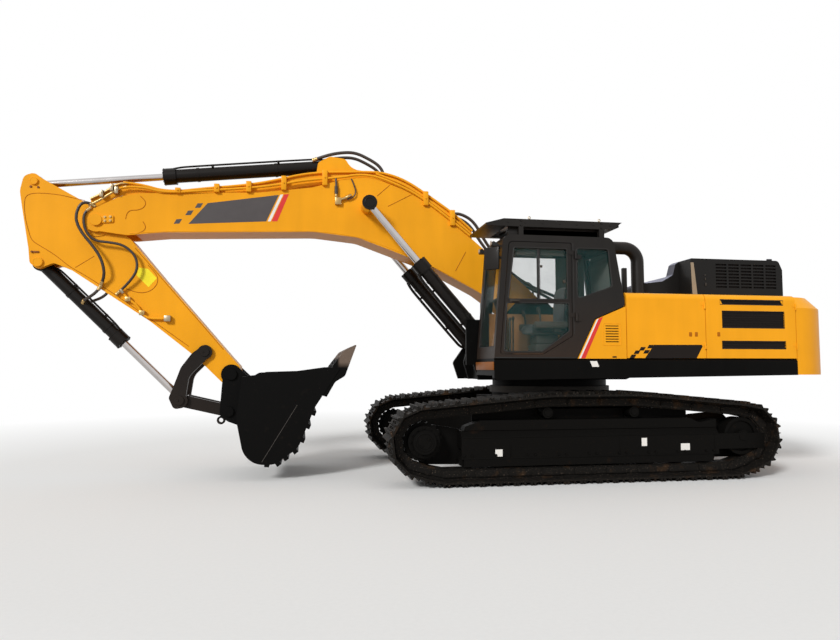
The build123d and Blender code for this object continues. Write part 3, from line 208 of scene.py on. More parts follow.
class Graph(Nodes):
    """A material's node tree, built from a Principled BSDF outwards."""

    def __init__(self, name: str) -> None:
        """Starts an empty material of that name.

        Args:
            name: The material's name.
        """
        self.material = bpy.data.materials.new(name)
        self.material.use_nodes = True
        super().__init__(self.material.node_tree)
        self.place = self.node("ShaderNodeTexCoord", {}, {})

    def noise(self, scale: float, detail: float = 3.0, stretch: Point = (1, 1, 1)) -> Value:
        """Fractal noise over the machine's own coordinates, about 0 to 1.

        Args:
            scale: Features per metre.
            detail: Octaves.
            stretch: Factors on x, y and z.

        Returns:
            The noise value.
        """
        vector = self.place.outputs["Object"]
        if stretch != (1, 1, 1):
            scaled = self.node(
                "ShaderNodeVectorMath", {"operation": "MULTIPLY"}, {0: vector, 1: stretch}
            )
            vector = scaled.outputs[0]
        node = self.node(
            "ShaderNodeTexNoise", {}, {"Vector": vector, "Scale": scale, "Detail": detail}
        )
        return Value(self, node.outputs["Fac"])

    def part(self, source: str, letter: str) -> Value:
        """The x, y or z of the texture coordinate "Object" or "Normal"."""
        split = self.node("ShaderNodeSeparateXYZ", {}, {0: self.place.outputs[source]})
        return Value(self, split.outputs[letter])

    def mix(self, share: Value, low: object, high: object) -> bpy.types.NodeSocket:
        """Blends two colours by a share."""
        node = self.node("ShaderNodeMix", {"data_type": "RGBA"}, {0: share, 6: low, 7: high})
        return node.outputs[2]

    def bump(self, height: Value, strength: float, distance: float) -> bpy.types.NodeSocket:
        """A bumped normal from a height.

        Args:
            height: The height.
            strength: Share of the bump that shows.
            distance: What a height of 1 stands for, in metres.

        Returns:
            The normal's socket.
        """
        node = self.node(
            "ShaderNodeBump", {}, {"Strength": strength, "Distance": distance, "Height": height}
        )
        return node.outputs["Normal"]

    def finish(self, sockets: dict) -> bpy.types.Material:
        """Closes the graph with a Principled BSDF that has those sockets.

        Args:
            sockets: Values, Value objects or sockets by input name.

        Returns:
            The material.
        """
        shader = self.node("ShaderNodeBsdfPrincipled", {}, sockets)
        self.node("ShaderNodeOutputMaterial", {}, {"Surface": shader.outputs[0]})
        return self.material


def shaded(colour: Colour, factor: float) -> Colour:
    """A colour made darker or lighter by a factor, at most 1 in each channel."""
    return tuple(min(1.0, channel * factor) for channel in colour)


# ---------------------------------------------------------------- finishes


@dataclass(frozen=True)
class Paint:
    """Sprayed paint with orange peel, faint streaks and dust that settles low and on top; on the
    hood the tint on top is a painted sky reflection instead of dust.
    """

    name: str
    colour: Colour
    rough: float = 0.36
    coat: float = 0.25
    specular: float = 0.4
    dust_and_reflection_colour: Colour = (0.32, 0.22, 0.12)
    dust: float = 0.25
    dust_top_z: float = 1.9
    drift: float = 0.1

    def make(self) -> bpy.types.Material:
        """Builds the paint's material.

        Returns:
            The material.
        """
        graph = Graph(self.name)
        broad = graph.noise(1.3, 3)
        streaks = graph.noise(2.2, 4, (3.0, 3.0, 0.35))
        grain = graph.noise(38, 5)
        # The tint settles low down and on upward faces: dust on most paints, a painted sky
        # reflection on the hood.
        low = ((self.dust_top_z - graph.part("Object", "Z")) * 0.9).clamp()
        dust_and_reflection_weight = (low + graph.part("Normal", "Z").clamp() * 0.45) * self.dust
        dust_and_reflection_share = (dust_and_reflection_weight * (broad * 1.2 + grain * 0.8)).clamp()
        shade = ((broad - 0.5) * 1.4 + (streaks - 0.5) * 0.8 + 0.5).clamp()
        darker, lighter = (shaded(self.colour, 1 + way * self.drift) for way in (-1, 1))
        return graph.finish(
            {
                "Base Color": graph.mix(
                    dust_and_reflection_share, graph.mix(shade, darker, lighter), self.dust_and_reflection_colour
                ),
                "Roughness": (grain - 0.5) * 0.12 + dust_and_reflection_share * 0.4 + self.rough,
                "Coat Weight": (1 - dust_and_reflection_share) * self.coat,
                "Coat Roughness": 0.12,
                "Specular IOR Level": self.specular,
                "Normal": graph.bump(graph.noise(190, 2), 0.05, 0.002),
            }
        )


@dataclass(frozen=True)
class WornSteel:
    """Bare or cast steel with mud, rust and rubbed places."""

    name: str
    colour: Colour
    stain: Colour = (0.1, 0.055, 0.03)
    shine: Colour = (0.2, 0.17, 0.14)
    rough: float = 0.62
    stain_share: float = 0.5
    shine_share: float = 0.25
    metallic: float = 0.35
    pitting: float = 0.25
    specular: float = 0.3

    def make(self) -> bpy.types.Material:
        """Builds the steel's material.

        Returns:
            The material.
        """
        graph = Graph(self.name)
        blotch = graph.noise(5.5, 6)
        fine = graph.noise(60, 6)
        stained = ((blotch - (0.72 - 0.3 * self.stain_share)) * 6 * fine).clamp()
        rubbed = ((fine - (0.66 - 0.1 * self.shine_share)) * 7).clamp() * self.shine_share
        base = graph.mix(stained, self.colour, self.stain)
        return graph.finish(
            {
                "Base Color": graph.mix(rubbed, base, self.shine),
                "Roughness": (self.rough + (fine - 0.5) * 0.2 - rubbed * 0.2).clamp(),
                "Metallic": (1 - stained) * self.metallic,
                "Specular IOR Level": self.specular,
                "Normal": graph.bump(fine + blotch * 0.6, self.pitting, 0.004),
            }
        )


@dataclass(frozen=True)
class BucketPaint:
    """Black bucket paint, scuffed through low down and bare on the teeth."""

    name: str
    colour: Colour
    bare: Colour
    tooth_start_z: float
    tooth_x: float
    scuff_top_z: float = 0.75

    def make(self) -> bpy.types.Material:
        """Builds the bucket's material.

        Returns:
            The material.
        """
        graph = Graph(self.name)
        fine = graph.noise(45, 6)
        drag = graph.noise(14, 5, (1.0, 4.0, 1.0))
        x, z = (graph.part("Object", letter) for letter in "XZ")
        teeth = ((z - self.tooth_start_z) * 14).clamp() * ((self.tooth_x - x) * 30).clamp()
        low = ((self.scuff_top_z - z) * 1.6).clamp()
        scuffs = ((drag - 0.62) * 5).clamp() * (low * 0.3 + 0.05)
        bared = (teeth * (fine * 0.5 + 0.7) + scuffs * 0.4).clamp()
        return graph.finish(
            {
                "Base Color": graph.mix(bared, self.colour, self.bare),
                "Roughness": 0.5 + (fine - 0.5) * 0.2 + bared * 0.08,
                "Metallic": bared * 0.5,
                "Specular IOR Level": 0.06,
                "Normal": graph.bump(fine + drag * 0.7, 0.14, 0.003),
            }
        )


@dataclass(frozen=True)
class Metal:
    """Plated or polished metal with fine brushing."""

    name: str
    colour: Colour
    rough: float = 0.16
    brush: float = 0.04

    def make(self) -> bpy.types.Material:
        """Builds the metal's material.

        Returns:
            The material.
        """
        graph = Graph(self.name)
        fine = graph.noise(120, 4)
        film = graph.noise(9, 3)
        return graph.finish(
            {
                "Base Color": graph.mix(film, shaded(self.colour, 0.86), self.colour),
                "Metallic": 1.0,
                "Roughness": (fine - 0.5) * 0.14 + film * 0.08 + self.rough,
                "Normal": graph.bump(fine, self.brush, 0.001),
            }
        )


@dataclass(frozen=True)
class Glass:
    """Tinted window glass with a thin film of dust."""

    name: str
    tint: Colour
    alpha: float

    def make(self) -> bpy.types.Material:
        """Builds the glass's material.

        Returns:
            The material.
        """
        graph = Graph(self.name)
        film = graph.noise(3.5, 5)
        specks = graph.noise(150, 2)
        return graph.finish(
            {
                "Base Color": graph.mix(film, self.tint, shaded(self.tint, 1.4)),
                "Roughness": film * 0.05 + 0.02,
                "Alpha": self.alpha + (film - 0.5) * 0.1 + (specks - 0.5) * 0.04,
                "Specular IOR Level": 0.75,
                "IOR": 1.5,
            }
        )


@dataclass(frozen=True)
class Plastic:
    """Moulded plastic, rubber or film with a fine grain."""

    name: str
    colour: Colour
    rough: float = 0.55
    grain: float = 0.12
    grain_scale: float = 260
    specular: float = 0.35

    def make(self) -> bpy.types.Material:
        """Builds the plastic's material.

        Returns:
            The material.
        """
        graph = Graph(self.name)
        wear = graph.noise(7, 4)
        return graph.finish(
            {
                "Base Color": graph.mix(
                    wear, shaded(self.colour, 0.85), shaded(self.colour, 1.12)
                ),
                "Roughness": (wear - 0.5) * 0.2 + self.rough,
                "Specular IOR Level": self.specular,
                "Normal": graph.bump(graph.noise(self.grain_scale, 3), self.grain, 0.001),
            }
        )


@dataclass(frozen=True)
class Cloth:
    """Woven seat fabric."""

    name: str
    colour: Colour
    thread: float = 420.0

    def make(self) -> bpy.types.Material:
        """Builds the fabric's material.

        Returns:
            The material.
        """
        graph = Graph(self.name)
        place = graph.place.outputs["Object"]
        warp, weft = (
            Value(graph, graph.node(
                "ShaderNodeTexWave", {"bands_direction": way},
                {"Vector": place, "Scale": self.thread},
            ).outputs["Fac"])
            for way in "XY"
        )
        weave = warp * weft
        worn = graph.noise(6, 4)
        return graph.finish(
            {
                "Base Color": graph.mix(
                    (weave * 0.6 + worn * 0.4).clamp(),
                    shaded(self.colour, 0.7), shaded(self.colour, 1.3),
                ),
                "Roughness": worn * 0.15 + 0.8,
                "Sheen Weight": 0.3,
                "Sheen Roughness": 0.5,
                "Normal": graph.bump(weave, 0.3, 0.001),
            }
        )


class Finish(Enum):
    """Every finish on the machine."""

    BODY = Paint(
        "body_orange", (0.86, 0.372, 0.014), dust=0.08, dust_top_z=1.2, coat=0.03, specular=0.08,
    )
    # Dark orange that stands in for painted shade along weld beads and plate edges; the door locks
    # use it too.
    SEAM_SHADE = Plastic("painted_seam_shade", (0.42, 0.135, 0.008), rough=0.6, specular=0.1)
    BLACK = Paint(
        "chassis_black", (0.0026, 0.0025, 0.0023), rough=0.46, coat=0.0, specular=0.05,
        dust_and_reflection_colour=(0.05, 0.03, 0.016), dust=0.12, dust_top_z=1.3, drift=0.35,
    )
    CAB = Paint(
        "cab_black", (0.012, 0.0105, 0.0095), rough=0.4, coat=0.05, specular=0.16,
        dust_and_reflection_colour=(0.06, 0.03, 0.016), dust=0.35, dust_top_z=2.3, drift=0.3,
    )
    # The hood's blue-grey tint on upward faces is a painted sky reflection; dust_top_z 0.5 keeps
    # the tint off low down.
    HOOD = Paint(
        "hood_black", (0.01, 0.0098, 0.0095), rough=0.42, coat=0.04, specular=0.12,
        dust_and_reflection_colour=(0.62, 0.63, 0.82), dust=1.0, dust_top_z=0.5, drift=0.3,
    )
    CYLINDER = Paint(
        "cylinder_black", (0.0068, 0.0054, 0.0046), rough=0.33, coat=0.06, specular=0.14,
        dust_and_reflection_colour=(0.05, 0.03, 0.02), dust=0.15, dust_top_z=2.0, drift=0.3,
    )
    TRACK = WornSteel(
        "track_steel", (0.0085, 0.0075, 0.0065), stain=(0.07, 0.036, 0.016), stain_share=0.5,
        shine=(0.26, 0.2, 0.155), shine_share=0.55, specular=0.1, metallic=0.2,
    )
    UNDER = WornSteel(
        "undercarriage_black", (0.004, 0.0037, 0.0033), stain=(0.022, 0.012, 0.007),
        stain_share=0.25, shine_share=0.06, pitting=0.1, metallic=0.0, rough=0.55, specular=0.05,
    )
    RUST = WornSteel(
        "rusty_steel", (0.022, 0.014, 0.009), stain=(0.1, 0.045, 0.018), stain_share=0.6,
        shine_share=0.05, metallic=0.0, rough=0.7, specular=0.05,
    )
    CAST = WornSteel("cast_steel", (0.05, 0.045, 0.04), stain_share=0.3, metallic=0.5)
    BUCKET = BucketPaint("bucket_black", (0.0024, 0.0023, 0.0022), (0.16, 0.12, 0.095), 1.4, 3.09)
    CHROME = Metal("rod_chrome", (0.58, 0.55, 0.54), rough=0.14)
    ZINC = Metal("zinc_fittings", (0.42, 0.34, 0.23), rough=0.34, brush=0.1)
    BRASS = Metal("yellow_zinc", (0.48, 0.32, 0.13), rough=0.34, brush=0.1)
    GLASS = Glass("window_glass", (0.01, 0.07, 0.068), 0.12)
    MIRROR = Metal("mirror_glass", (0.75, 0.77, 0.78), rough=0.04, brush=0.0)
    LENS = Glass("lamp_lens", (0.6, 0.6, 0.58), 0.4)
    RUBBER = Plastic("rubber", (0.012, 0.011, 0.01), rough=0.6)
    HOSE = Plastic("hose_cover", (0.04, 0.029, 0.023), rough=0.36, grain_scale=520, specular=0.4)
    TRIM = Plastic("cab_plastic", (0.045, 0.036, 0.027), rough=0.6)
    INNER = Plastic("cab_lining", (0.3, 0.14, 0.045), rough=0.65)
    LINING = Plastic("cab_rear_lining", (0.13, 0.145, 0.13), rough=0.65)
    WHITE = Plastic("white_film", (0.82, 0.82, 0.8), rough=0.4, grain=0.02)
    RED = Plastic("red_film", (0.68, 0.035, 0.03), rough=0.4, grain=0.02)
    GREY = Plastic("grey_film", (0.065, 0.058, 0.06), rough=0.45, grain=0.02)
    DARK = Plastic("black_film", (0.012, 0.009, 0.008), rough=0.45, grain=0.02, specular=0.1)
    YELLOW = Plastic("yellow_film", (0.92, 0.78, 0.015), rough=0.42, grain=0.02)
    BEIGE = Plastic("hood_strip", (0.3, 0.24, 0.17), rough=0.7)
    # Body orange darkened with painted shade, for the deck's front beam ends and the arm's pin
    # keepers.
    SHADED_ORANGE = Plastic("orange_with_painted_shade", (0.24, 0.08, 0.016), rough=0.5, specular=0.2)
    SEAT = Cloth("seat_cloth", (0.014, 0.016, 0.015))


MATERIALS: dict[Finish, bpy.types.Material] = {}


def material(finish: Finish) -> bpy.types.Material:
    """The finish's material, made when it is first asked for.

    Args:
        finish: The finish.

    Returns:
        Its material.
    """
    if finish not in MATERIALS:
        MATERIALS[finish] = finish.value.make()
    return MATERIALS[finish]


# ---------------------------------------------------------------- meshes

BEVEL_ANGLE = 0.55  # edges sharper than this are bevelled
SMOOTH_ANGLE = math.radians(38)  # faces that meet at less are shaded smooth


def across(outline: Sequence[Pair], y: float) -> list[Point]:
    """An outline of (x, z) points at one y."""
    return [(x, y, z) for x, z in outline]


def oblong(x0: float, x1: float, z0: float, z1: float) -> list[Pair]:
    """The corners of an upright rectangle."""
    return [(x0, z0), (x1, z0), (x1, z1), (x0, z1)]


def turns(count: int) -> list[float]:
    """Angles evenly spaced round a circle, in radians."""
    return [FULL_TURN * number / count for number in range(count)]


def facing(axis: Place) -> Matrix:
    """The turn that brings z onto an axis."""
    return Vector(axis).to_track_quat("Z", "Y").to_matrix()


class Piece:
    """A mesh under construction in the machine's frame, in metres."""

    def __init__(self, name: str) -> None:
        """Starts an empty mesh."""
        self.name = name
        self.mesh = bmesh.new()

    def join(self, part: bmesh.types.BMesh, bevel: float = 0, steps: int = 2) -> "Piece":
        """Bevels a part's sharp edges and adds it to the mesh.

        Args:
            part: The part's own mesh, which is freed.
            bevel: Width of the bevel, 0 for none.
            steps: Rows of faces across the bevel.

        Returns:
            This piece.
        """
        if bevel:
            sharp = [
                edge for edge in part.edges
                if len(edge.link_faces) == 2 and edge.calc_face_angle(0.0) > BEVEL_ANGLE
            ]
            bmesh.ops.bevel(
                part, geom=sharp, offset=bevel, segments=steps, profile=0.5,
                affect="EDGES", clamp_overlap=True,
            )
        bmesh.ops.recalc_face_normals(part, faces=part.faces)
        holder = bpy.data.meshes.new("holder")
        part.to_mesh(holder)
        part.free()
        self.mesh.from_mesh(holder)
        bpy.data.meshes.remove(holder)
        return self

    def box(self, low: Point, high: Point, bevel: float = 0.003) -> "Piece":
        """Adds a bevelled block between two corners.

        Args:
            low: One corner.
            high: The corner across from it.
            bevel: Width of the bevel, held to 0.4 of the thinnest side.

        Returns:
            This piece.
        """
        part = bmesh.new()
        size = [b - a for a, b in zip(low, high)]
        middle = Vector([(a + b) / 2 for a, b in zip(low, high)])
        frame = Matrix.Translation(middle) @ Matrix.Diagonal((*size, 1.0))
        bmesh.ops.create_cube(part, size=1.0, matrix=frame)
        return self.join(part, min(bevel, min(abs(s) for s in size) * 0.4))

    def plate(self, ring: Sequence[Point], rise: Point, bevel: float) -> "Piece":
        """Adds a plate from one face's corners and the way to its other face.

        Args:
            ring: The face's corners in order.
            rise: From this face to the other.
            bevel: Width of the bevel.

        Returns:
            This piece.
        """
        part = bmesh.new()
        face = part.faces.new([part.verts.new(corner) for corner in ring])
        grown = bmesh.ops.extrude_face_region(part, geom=[face])
        risen = [item for item in grown["geom"] if isinstance(item, bmesh.types.BMVert)]
        bmesh.ops.translate(part, vec=rise, verts=risen)
        return self.join(part, bevel)

    def slab(
        self, outline: Sequence[Pair], low: float, high: float, bevel: float = 0.002
    ) -> "Piece":
        """Adds a plate between two values of y from an outline of (x, z) points."""
        return self.plate(across(outline, low), (0, high - low, 0), bevel)

    def plan(
        self, outline: Sequence[Pair], low: float, high: float, bevel: float = 0.002
    ) -> "Piece":
        """Adds a level plate between two heights from an outline of (x, y) points."""
        return self.plate([(x, y, low) for x, y in outline], (0, 0, high - low), bevel)

    def film(self, outline: Sequence[Pair], y: float, thick: float = 0.0012) -> "Piece":
        """Adds a thin film on the surface at y."""
        return self.slab(outline, y - 0.001, y + thick, 0)

    def films(
        self, places: Sequence[Pair], shape: Sequence[Pair], y: float, thick: float = 0.0012
    ) -> "Piece":
        """Adds a film of one shape at each place.

        Args:
            places: The films' middles as (x, z).
            shape: The corners about the middle.
            y: The surface.
            thick: How far the film stands out.

        Returns:
            This piece.
        """
        for x, z in places:
            self.film([(x + dx, z + dz) for dx, dz in shape], y, thick)
        return self

    def bar(
        self, start: Place, end: Place, radius: float, sides: int = 20,
        end_radius: float | None = None, bevel: float = 0.002,
    ) -> "Piece":
        """Adds a round or many-sided bar between two points.

        Args:
            start: Centre of the first end.
            end: Centre of the other end.
            radius: Radius at the start.
            sides: Sides of the section; 6 makes a hexagon.
            end_radius: Radius at the end, the same where left out.
            bevel: Width of the end's bevel.

        Returns:
            This piece.
        """
        part = bmesh.new()
        a, b = Vector(start), Vector(end)
        bmesh.ops.create_cone(
            part, cap_ends=True, segments=sides, radius1=radius,
            radius2=radius if end_radius is None else end_radius, depth=(b - a).length,
            matrix=Matrix.Translation((a + b) / 2) @ facing(b - a).to_4x4(),
        )
        return self.join(part, bevel, 1)

    def pin(
        self, x: float, z: float, low: float, high: float, radius: float, sides: int = 20
    ) -> "Piece":
        """Adds a round bar across the machine, between two values of y."""
        return self.bar((x, low, z), (x, high, z), radius, sides)

    def bolt(self, place: Place, axis: Place, radius: float) -> "Piece":
        """Adds a hexagon bolt head on its washer, standing on place along axis.

        Args:
            place: The washer's foot.
            axis: The way that the head points.
            radius: The head's radius.

        Returns:
            This piece.
        """
        base, out = Vector(place), Vector(axis).normalized()
        washer, head = base + out * radius * 0.22, base + out * radius
        self.bar(base, washer, radius * 1.25, 12, bevel=0)
        return self.bar(washer, head, radius, 6, radius * 0.93, bevel=0)

    def bolts(self, places: Iterable[Pair], y: float, radius: float) -> "Piece":
        """Adds a bolt head at each (x, z) on the surface at y, facing outwards.

        Args:
            places: The bolts as (x, z).
            y: The surface.
            radius: The heads' radius.

        Returns:
            This piece.
        """
        for x, z in places:
            self.bolt((x, y, z), OUT, radius)
        return self

    def tube(self, path: Sequence[Place], radius: float, sides: int = 12) -> "Piece":
        """Adds a round tube along a path of points, closed at both ends.

        Args:
            path: The points.
            radius: The tube's radius.
            sides: Sides of the section.

        Returns:
            This piece.
        """
        part = bmesh.new()
        points = [Vector(p) for p in path]
        tangents = [
            (after - before).normalized()
            for before, after in zip(points[:1] + points, points[1:] + points[-1:])
        ]
        side = tangents[0].orthogonal().normalized()
        rings = []
        for point, tangent in zip(points, tangents):
            side = (side - tangent * side.dot(tangent)).normalized()
            other = tangent.cross(side)
            rings.append([
                part.verts.new(point + (side * math.cos(a) + other * math.sin(a)) * radius)
                for a in turns(sides)
            ])
        self._skin(part, rings)
        part.faces.new(rings[0][::-1])
        part.faces.new(rings[-1])
        return self.join(part)

    @staticmethod
    def _skin(
        part: bmesh.types.BMesh, rings: Sequence[Sequence[bmesh.types.BMVert]]
    ) -> None:
        """Joins each ring of vertices to the next with faces.

        Args:
            part: The mesh that holds them.
            rings: The rings, all of one length.
        """
        for first, second in zip(rings, rings[1:]):
            for k, here in enumerate(first):
                m = (k + 1) % len(first)
                part.faces.new((here, first[m], second[m], second[k]))

    def run(self, outline: Sequence[Pair], y: float, radius: float, sides: int = 12) -> "Piece":
        """Adds a smooth tube through (x, z) points at one y."""
        return self.tube(smooth_path(across(outline, y)), radius, sides)

    def loop(self, ring: Sequence[Point], radius: float, sides: int = 8) -> "Piece":
        """Adds a closed tube round a ring of points."""
        return self.tube([*ring, *ring[:2]], radius, sides)

    def ring(self, centre: Point, axis: Point, radius: float, thick: float) -> "Piece":
        """Adds a torus, such as a bead of weld or a rubber lip.

        Args:
            centre: The middle.
            axis: The axis.
            radius: From the middle to the bead.
            thick: The bead's radius.

        Returns:
            This piece.
        """
        angles = turns(36) + [FULL_TURN]
        turn, middle = facing(axis), Vector(centre)
        path = [
            middle + turn @ Vector((radius * math.cos(a), radius * math.sin(a), 0))
            for a in angles
        ]
        return self.tube(path, thick, 8)

    def dome(self, place: Point, axis: Point, radius: float, height: float) -> "Piece":
        """Adds a rounded cap that stands on place along axis.

        Args:
            place: The middle of the cap's foot.
            axis: The way that it points.
            radius: The foot's radius.
            height: How far it rises.

        Returns:
            This piece.
        """
        part = bmesh.new()
        squash = Matrix.Diagonal((1, 1, height / radius, 1))
        frame = Matrix.Translation(Vector(place)) @ facing(axis).to_4x4() @ squash
        bmesh.ops.create_uvsphere(
            part, u_segments=24, v_segments=12, radius=radius, matrix=frame
        )
        return self.join(part)

    def sleeve(self, start: Vector, end: Vector, inner: float, outer: float) -> "Piece":
        """Adds a hollow cylinder round the line from start to end.

        Args:
            start: One end.
            end: The other end.
            inner: The hole's radius.
            outer: The outer radius.

        Returns:
            This piece.
        """
        part = bmesh.new()
        turn = facing(end - start)
        rings = [
            [
                part.verts.new(place + turn @ Vector((r * math.cos(a), r * math.sin(a), 0)))
                for a in turns(40)
            ]
            for place, r in ((start, inner), (start, outer), (end, outer), (end, inner))
        ]
        self._skin(part, rings + rings[:1])
        return self.join(part)

    def mirror(self) -> "Piece":
        """Moves everything so far to the machine's other side.

        Returns:
            This piece.
        """
        bmesh.ops.scale(self.mesh, vec=(1, -1, 1), verts=self.mesh.verts)
        bmesh.ops.reverse_faces(self.mesh, faces=self.mesh.faces)
        return self

    def both_sides(self) -> "Piece":
        """Adds the mirror image of everything so far on the machine's other side.

        Returns:
            This piece.
        """
        copy = self.mesh.copy()
        bmesh.ops.scale(copy, vec=(1, -1, 1), verts=copy.verts)
        bmesh.ops.reverse_faces(copy, faces=copy.faces)
        return self.join(copy)

    def done(
        self, finish: Finish, body: str, slot: str | None = None, ride: bool = True
    ) -> bpy.types.Object:
        """Makes the object, dresses it and fastens it to a body.

        Args:
            finish: Its finish.
            body: The CAD body that carries it.
            slot: The record's material slot, where one fits; not used.
            ride: False to leave it unfastened to any body.

        Returns:
            The object.
        """
        mesh = bpy.data.meshes.new(self.name)
        for face in self.mesh.faces:
            face.smooth = True
        self.mesh.to_mesh(mesh)
        self.mesh.free()
        mesh.set_sharp_from_angle(angle=SMOOTH_ANGLE)
        mesh.materials.append(material(finish))
        thing = bpy.data.objects.new(self.name, mesh)
        bpy.context.scene.collection.objects.link(thing)
        if ride:
            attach(thing, body)
        log.info("%s: %d faces on %s", self.name, len(mesh.polygons), body)
        return thing


def rounded(rows: Sequence[Point], steps: int = 5) -> list[Pair]:
    """Rounds the corners of a closed outline.

    Args:
        rows: Points as (x, z, corner radius).
        steps: Points along each rounded corner.

    Returns:
        The outline's points.
    """
    points: list[Pair] = []
    for number, (x, z, radius) in enumerate(rows):
        corner = Vector((x, z))
        back = Vector(rows[number - 1][:2]) - corner
        ahead = Vector(rows[(number + 1) % len(rows)][:2]) - corner
        half = back.angle(ahead) / 2
        reach = min(radius / math.tan(half), back.length * 0.48, ahead.length * 0.48)
        start, end = corner + back.normalized() * reach, corner + ahead.normalized() * reach
        for t in (k / steps for k in range(steps + 1)):
            point = start * (1 - t) ** 2 + corner * 2 * t * (1 - t) + end * t ** 2
            points.append((point.x, point.y))
    return points


def smooth_path(route: Sequence[Place]) -> list[Point]:
    """Points along the smooth NURBS line of a route.

    Args:
        route: The control points, in metres.

    Returns:
        Points read from the spline.
    """
    curve = bpy.data.curves.new("route", "CURVE")
    curve.dimensions = "3D"
    curve.resolution_u = 8
    spline = curve.splines.new("NURBS")
    spline.points.add(len(route) - 1)
    for place, point in zip(spline.points, route):
        place.co = (*point, 1.0)
    spline.order_u = 3
    spline.use_endpoint_u = True
    holder = bpy.data.objects.new("route", curve)
    mesh = bpy.data.meshes.new_from_object(holder)
    points = [tuple(vertex.co) for vertex in mesh.vertices]
    bpy.data.objects.remove(holder)
    bpy.data.meshes.remove(mesh)
    bpy.data.curves.remove(curve)
    return points


# ---------------------------------------------------------------- studio


@dataclass
class Studio:
    """Camera at the photograph's angle, soft light and a pale floor."""

    eye: Point = (3.539, 9.472, 1.395)
    yaw: float = math.radians(9.843)
    pitch: float = math.radians(4.057)
    focal_px: float = 680.0
    frame_px: float = 840.0
    sensor_mm: float = 36.0
    sun_energy: float = 2.55
    sun_angle: float = math.radians(12)
    sun_run: Point = (-0.55, -0.68, -0.48)
    world_light: float = 0.55
    floor_place: Point = (1.8, 0, -0.004)
    floor_half: float = 60
    fade_start: float = 6.0
    fade_rate: float = 0.14
    white: Colour = (1.0, 1.0, 1.0)
    floor_dark: Colour = (0.8, 0.8, 0.79)
    floor_pale: Colour = (0.84, 0.84, 0.83)
    bounce: Colour = (0.42, 0.31, 0.19)

    def camera(self) -> None:
        """Makes the camera and sets it as the scene's."""
        data = bpy.data.cameras.new("camera")
        data.sensor_width = self.sensor_mm
        data.lens = self.sensor_mm * self.focal_px / self.frame_px
        data.clip_end = 200.0
        thing = bpy.data.objects.new("camera", data)
        level = math.cos(self.pitch)
        ahead = Vector(
            (-math.sin(self.yaw) * level, -math.cos(self.yaw) * level, math.sin(self.pitch))
        )
        thing.location = self.eye
        thing.rotation_euler = ahead.to_track_quat("-Z", "Y").to_euler()
        bpy.context.scene.collection.objects.link(thing)
        bpy.context.scene.camera = thing
        bpy.context.scene.view_settings.view_transform = "Standard"

    def lights(self) -> None:
        """A soft sun from over the bucket and an even world that looks white."""
        data = bpy.data.lights.new("sun", "SUN")
        data.energy = self.sun_energy
        data.angle = self.sun_angle
        sun = bpy.data.objects.new("sun", data)
        sun.rotation_euler = Vector(self.sun_run).to_track_quat("-Z", "Y").to_euler()
        bpy.context.scene.collection.objects.link(sun)
        world = bpy.data.worlds.new("studio")
        bpy.context.scene.world = world
        world.use_nodes = True
        nodes = Nodes(world.node_tree)
        seen = nodes.ray("Camera").either(nodes.ray("Glossy").either(nodes.ray("Transmission")))
        light, back = (
            nodes.node("ShaderNodeBackground", {}, {"Color": self.white, "Strength": strength})
            for strength in (self.world_light, 1.0)
        )
        whole = nodes.blend(seen, light, back)
        nodes.node("ShaderNodeOutputWorld", {}, {"Surface": whole.outputs[0]})

    def floor(self) -> None:
        """A pale floor that keeps the shadow and fades into the white background."""
        mesh = bmesh.new()
        bmesh.ops.create_grid(mesh, x_segments=2, y_segments=2, size=self.floor_half)
        data = bpy.data.meshes.new("floor")
        mesh.to_mesh(data)
        mesh.free()
        thing = bpy.data.objects.new("floor", data)
        thing.location = self.floor_place
        bpy.context.scene.collection.objects.link(thing)
        graph = Graph("pale_floor")
        length = graph.node(
            "ShaderNodeVectorMath", {"operation": "LENGTH"}, {0: graph.place.outputs["Object"]}
        )
        reach = Value(graph, length.outputs["Value"])
        far = ((reach - self.fade_start) * self.fade_rate).clamp()
        pale = graph.node("ShaderNodeBsdfPrincipled", {}, {
            "Base Color": graph.mix(graph.noise(30, 3), self.floor_dark, self.floor_pale),
            "Roughness": 0.9,
            "Specular IOR Level": 0.1,
        })
        white = graph.node("ShaderNodeEmission", {}, {"Color": self.white, "Strength": 1.0})
        both = graph.blend(far * graph.ray("Camera"), pale, white)
        dull = graph.node(
            "ShaderNodeBsdfPrincipled", {}, {"Base Color": self.bounce, "Roughness": 0.95}
        )
        whole = graph.blend(graph.ray("Diffuse"), both, dull)
        graph.node("ShaderNodeOutputMaterial", {}, {"Surface": whole.outputs[0]})
        data.materials.append(graph.material)
        thing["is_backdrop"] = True

    def build(self) -> None:
        """Builds the light and the floor; the camera is made before the hoses."""
        self.lights()
        self.floor()


# ---------------------------------------------------------------- carried-over CAD nodes


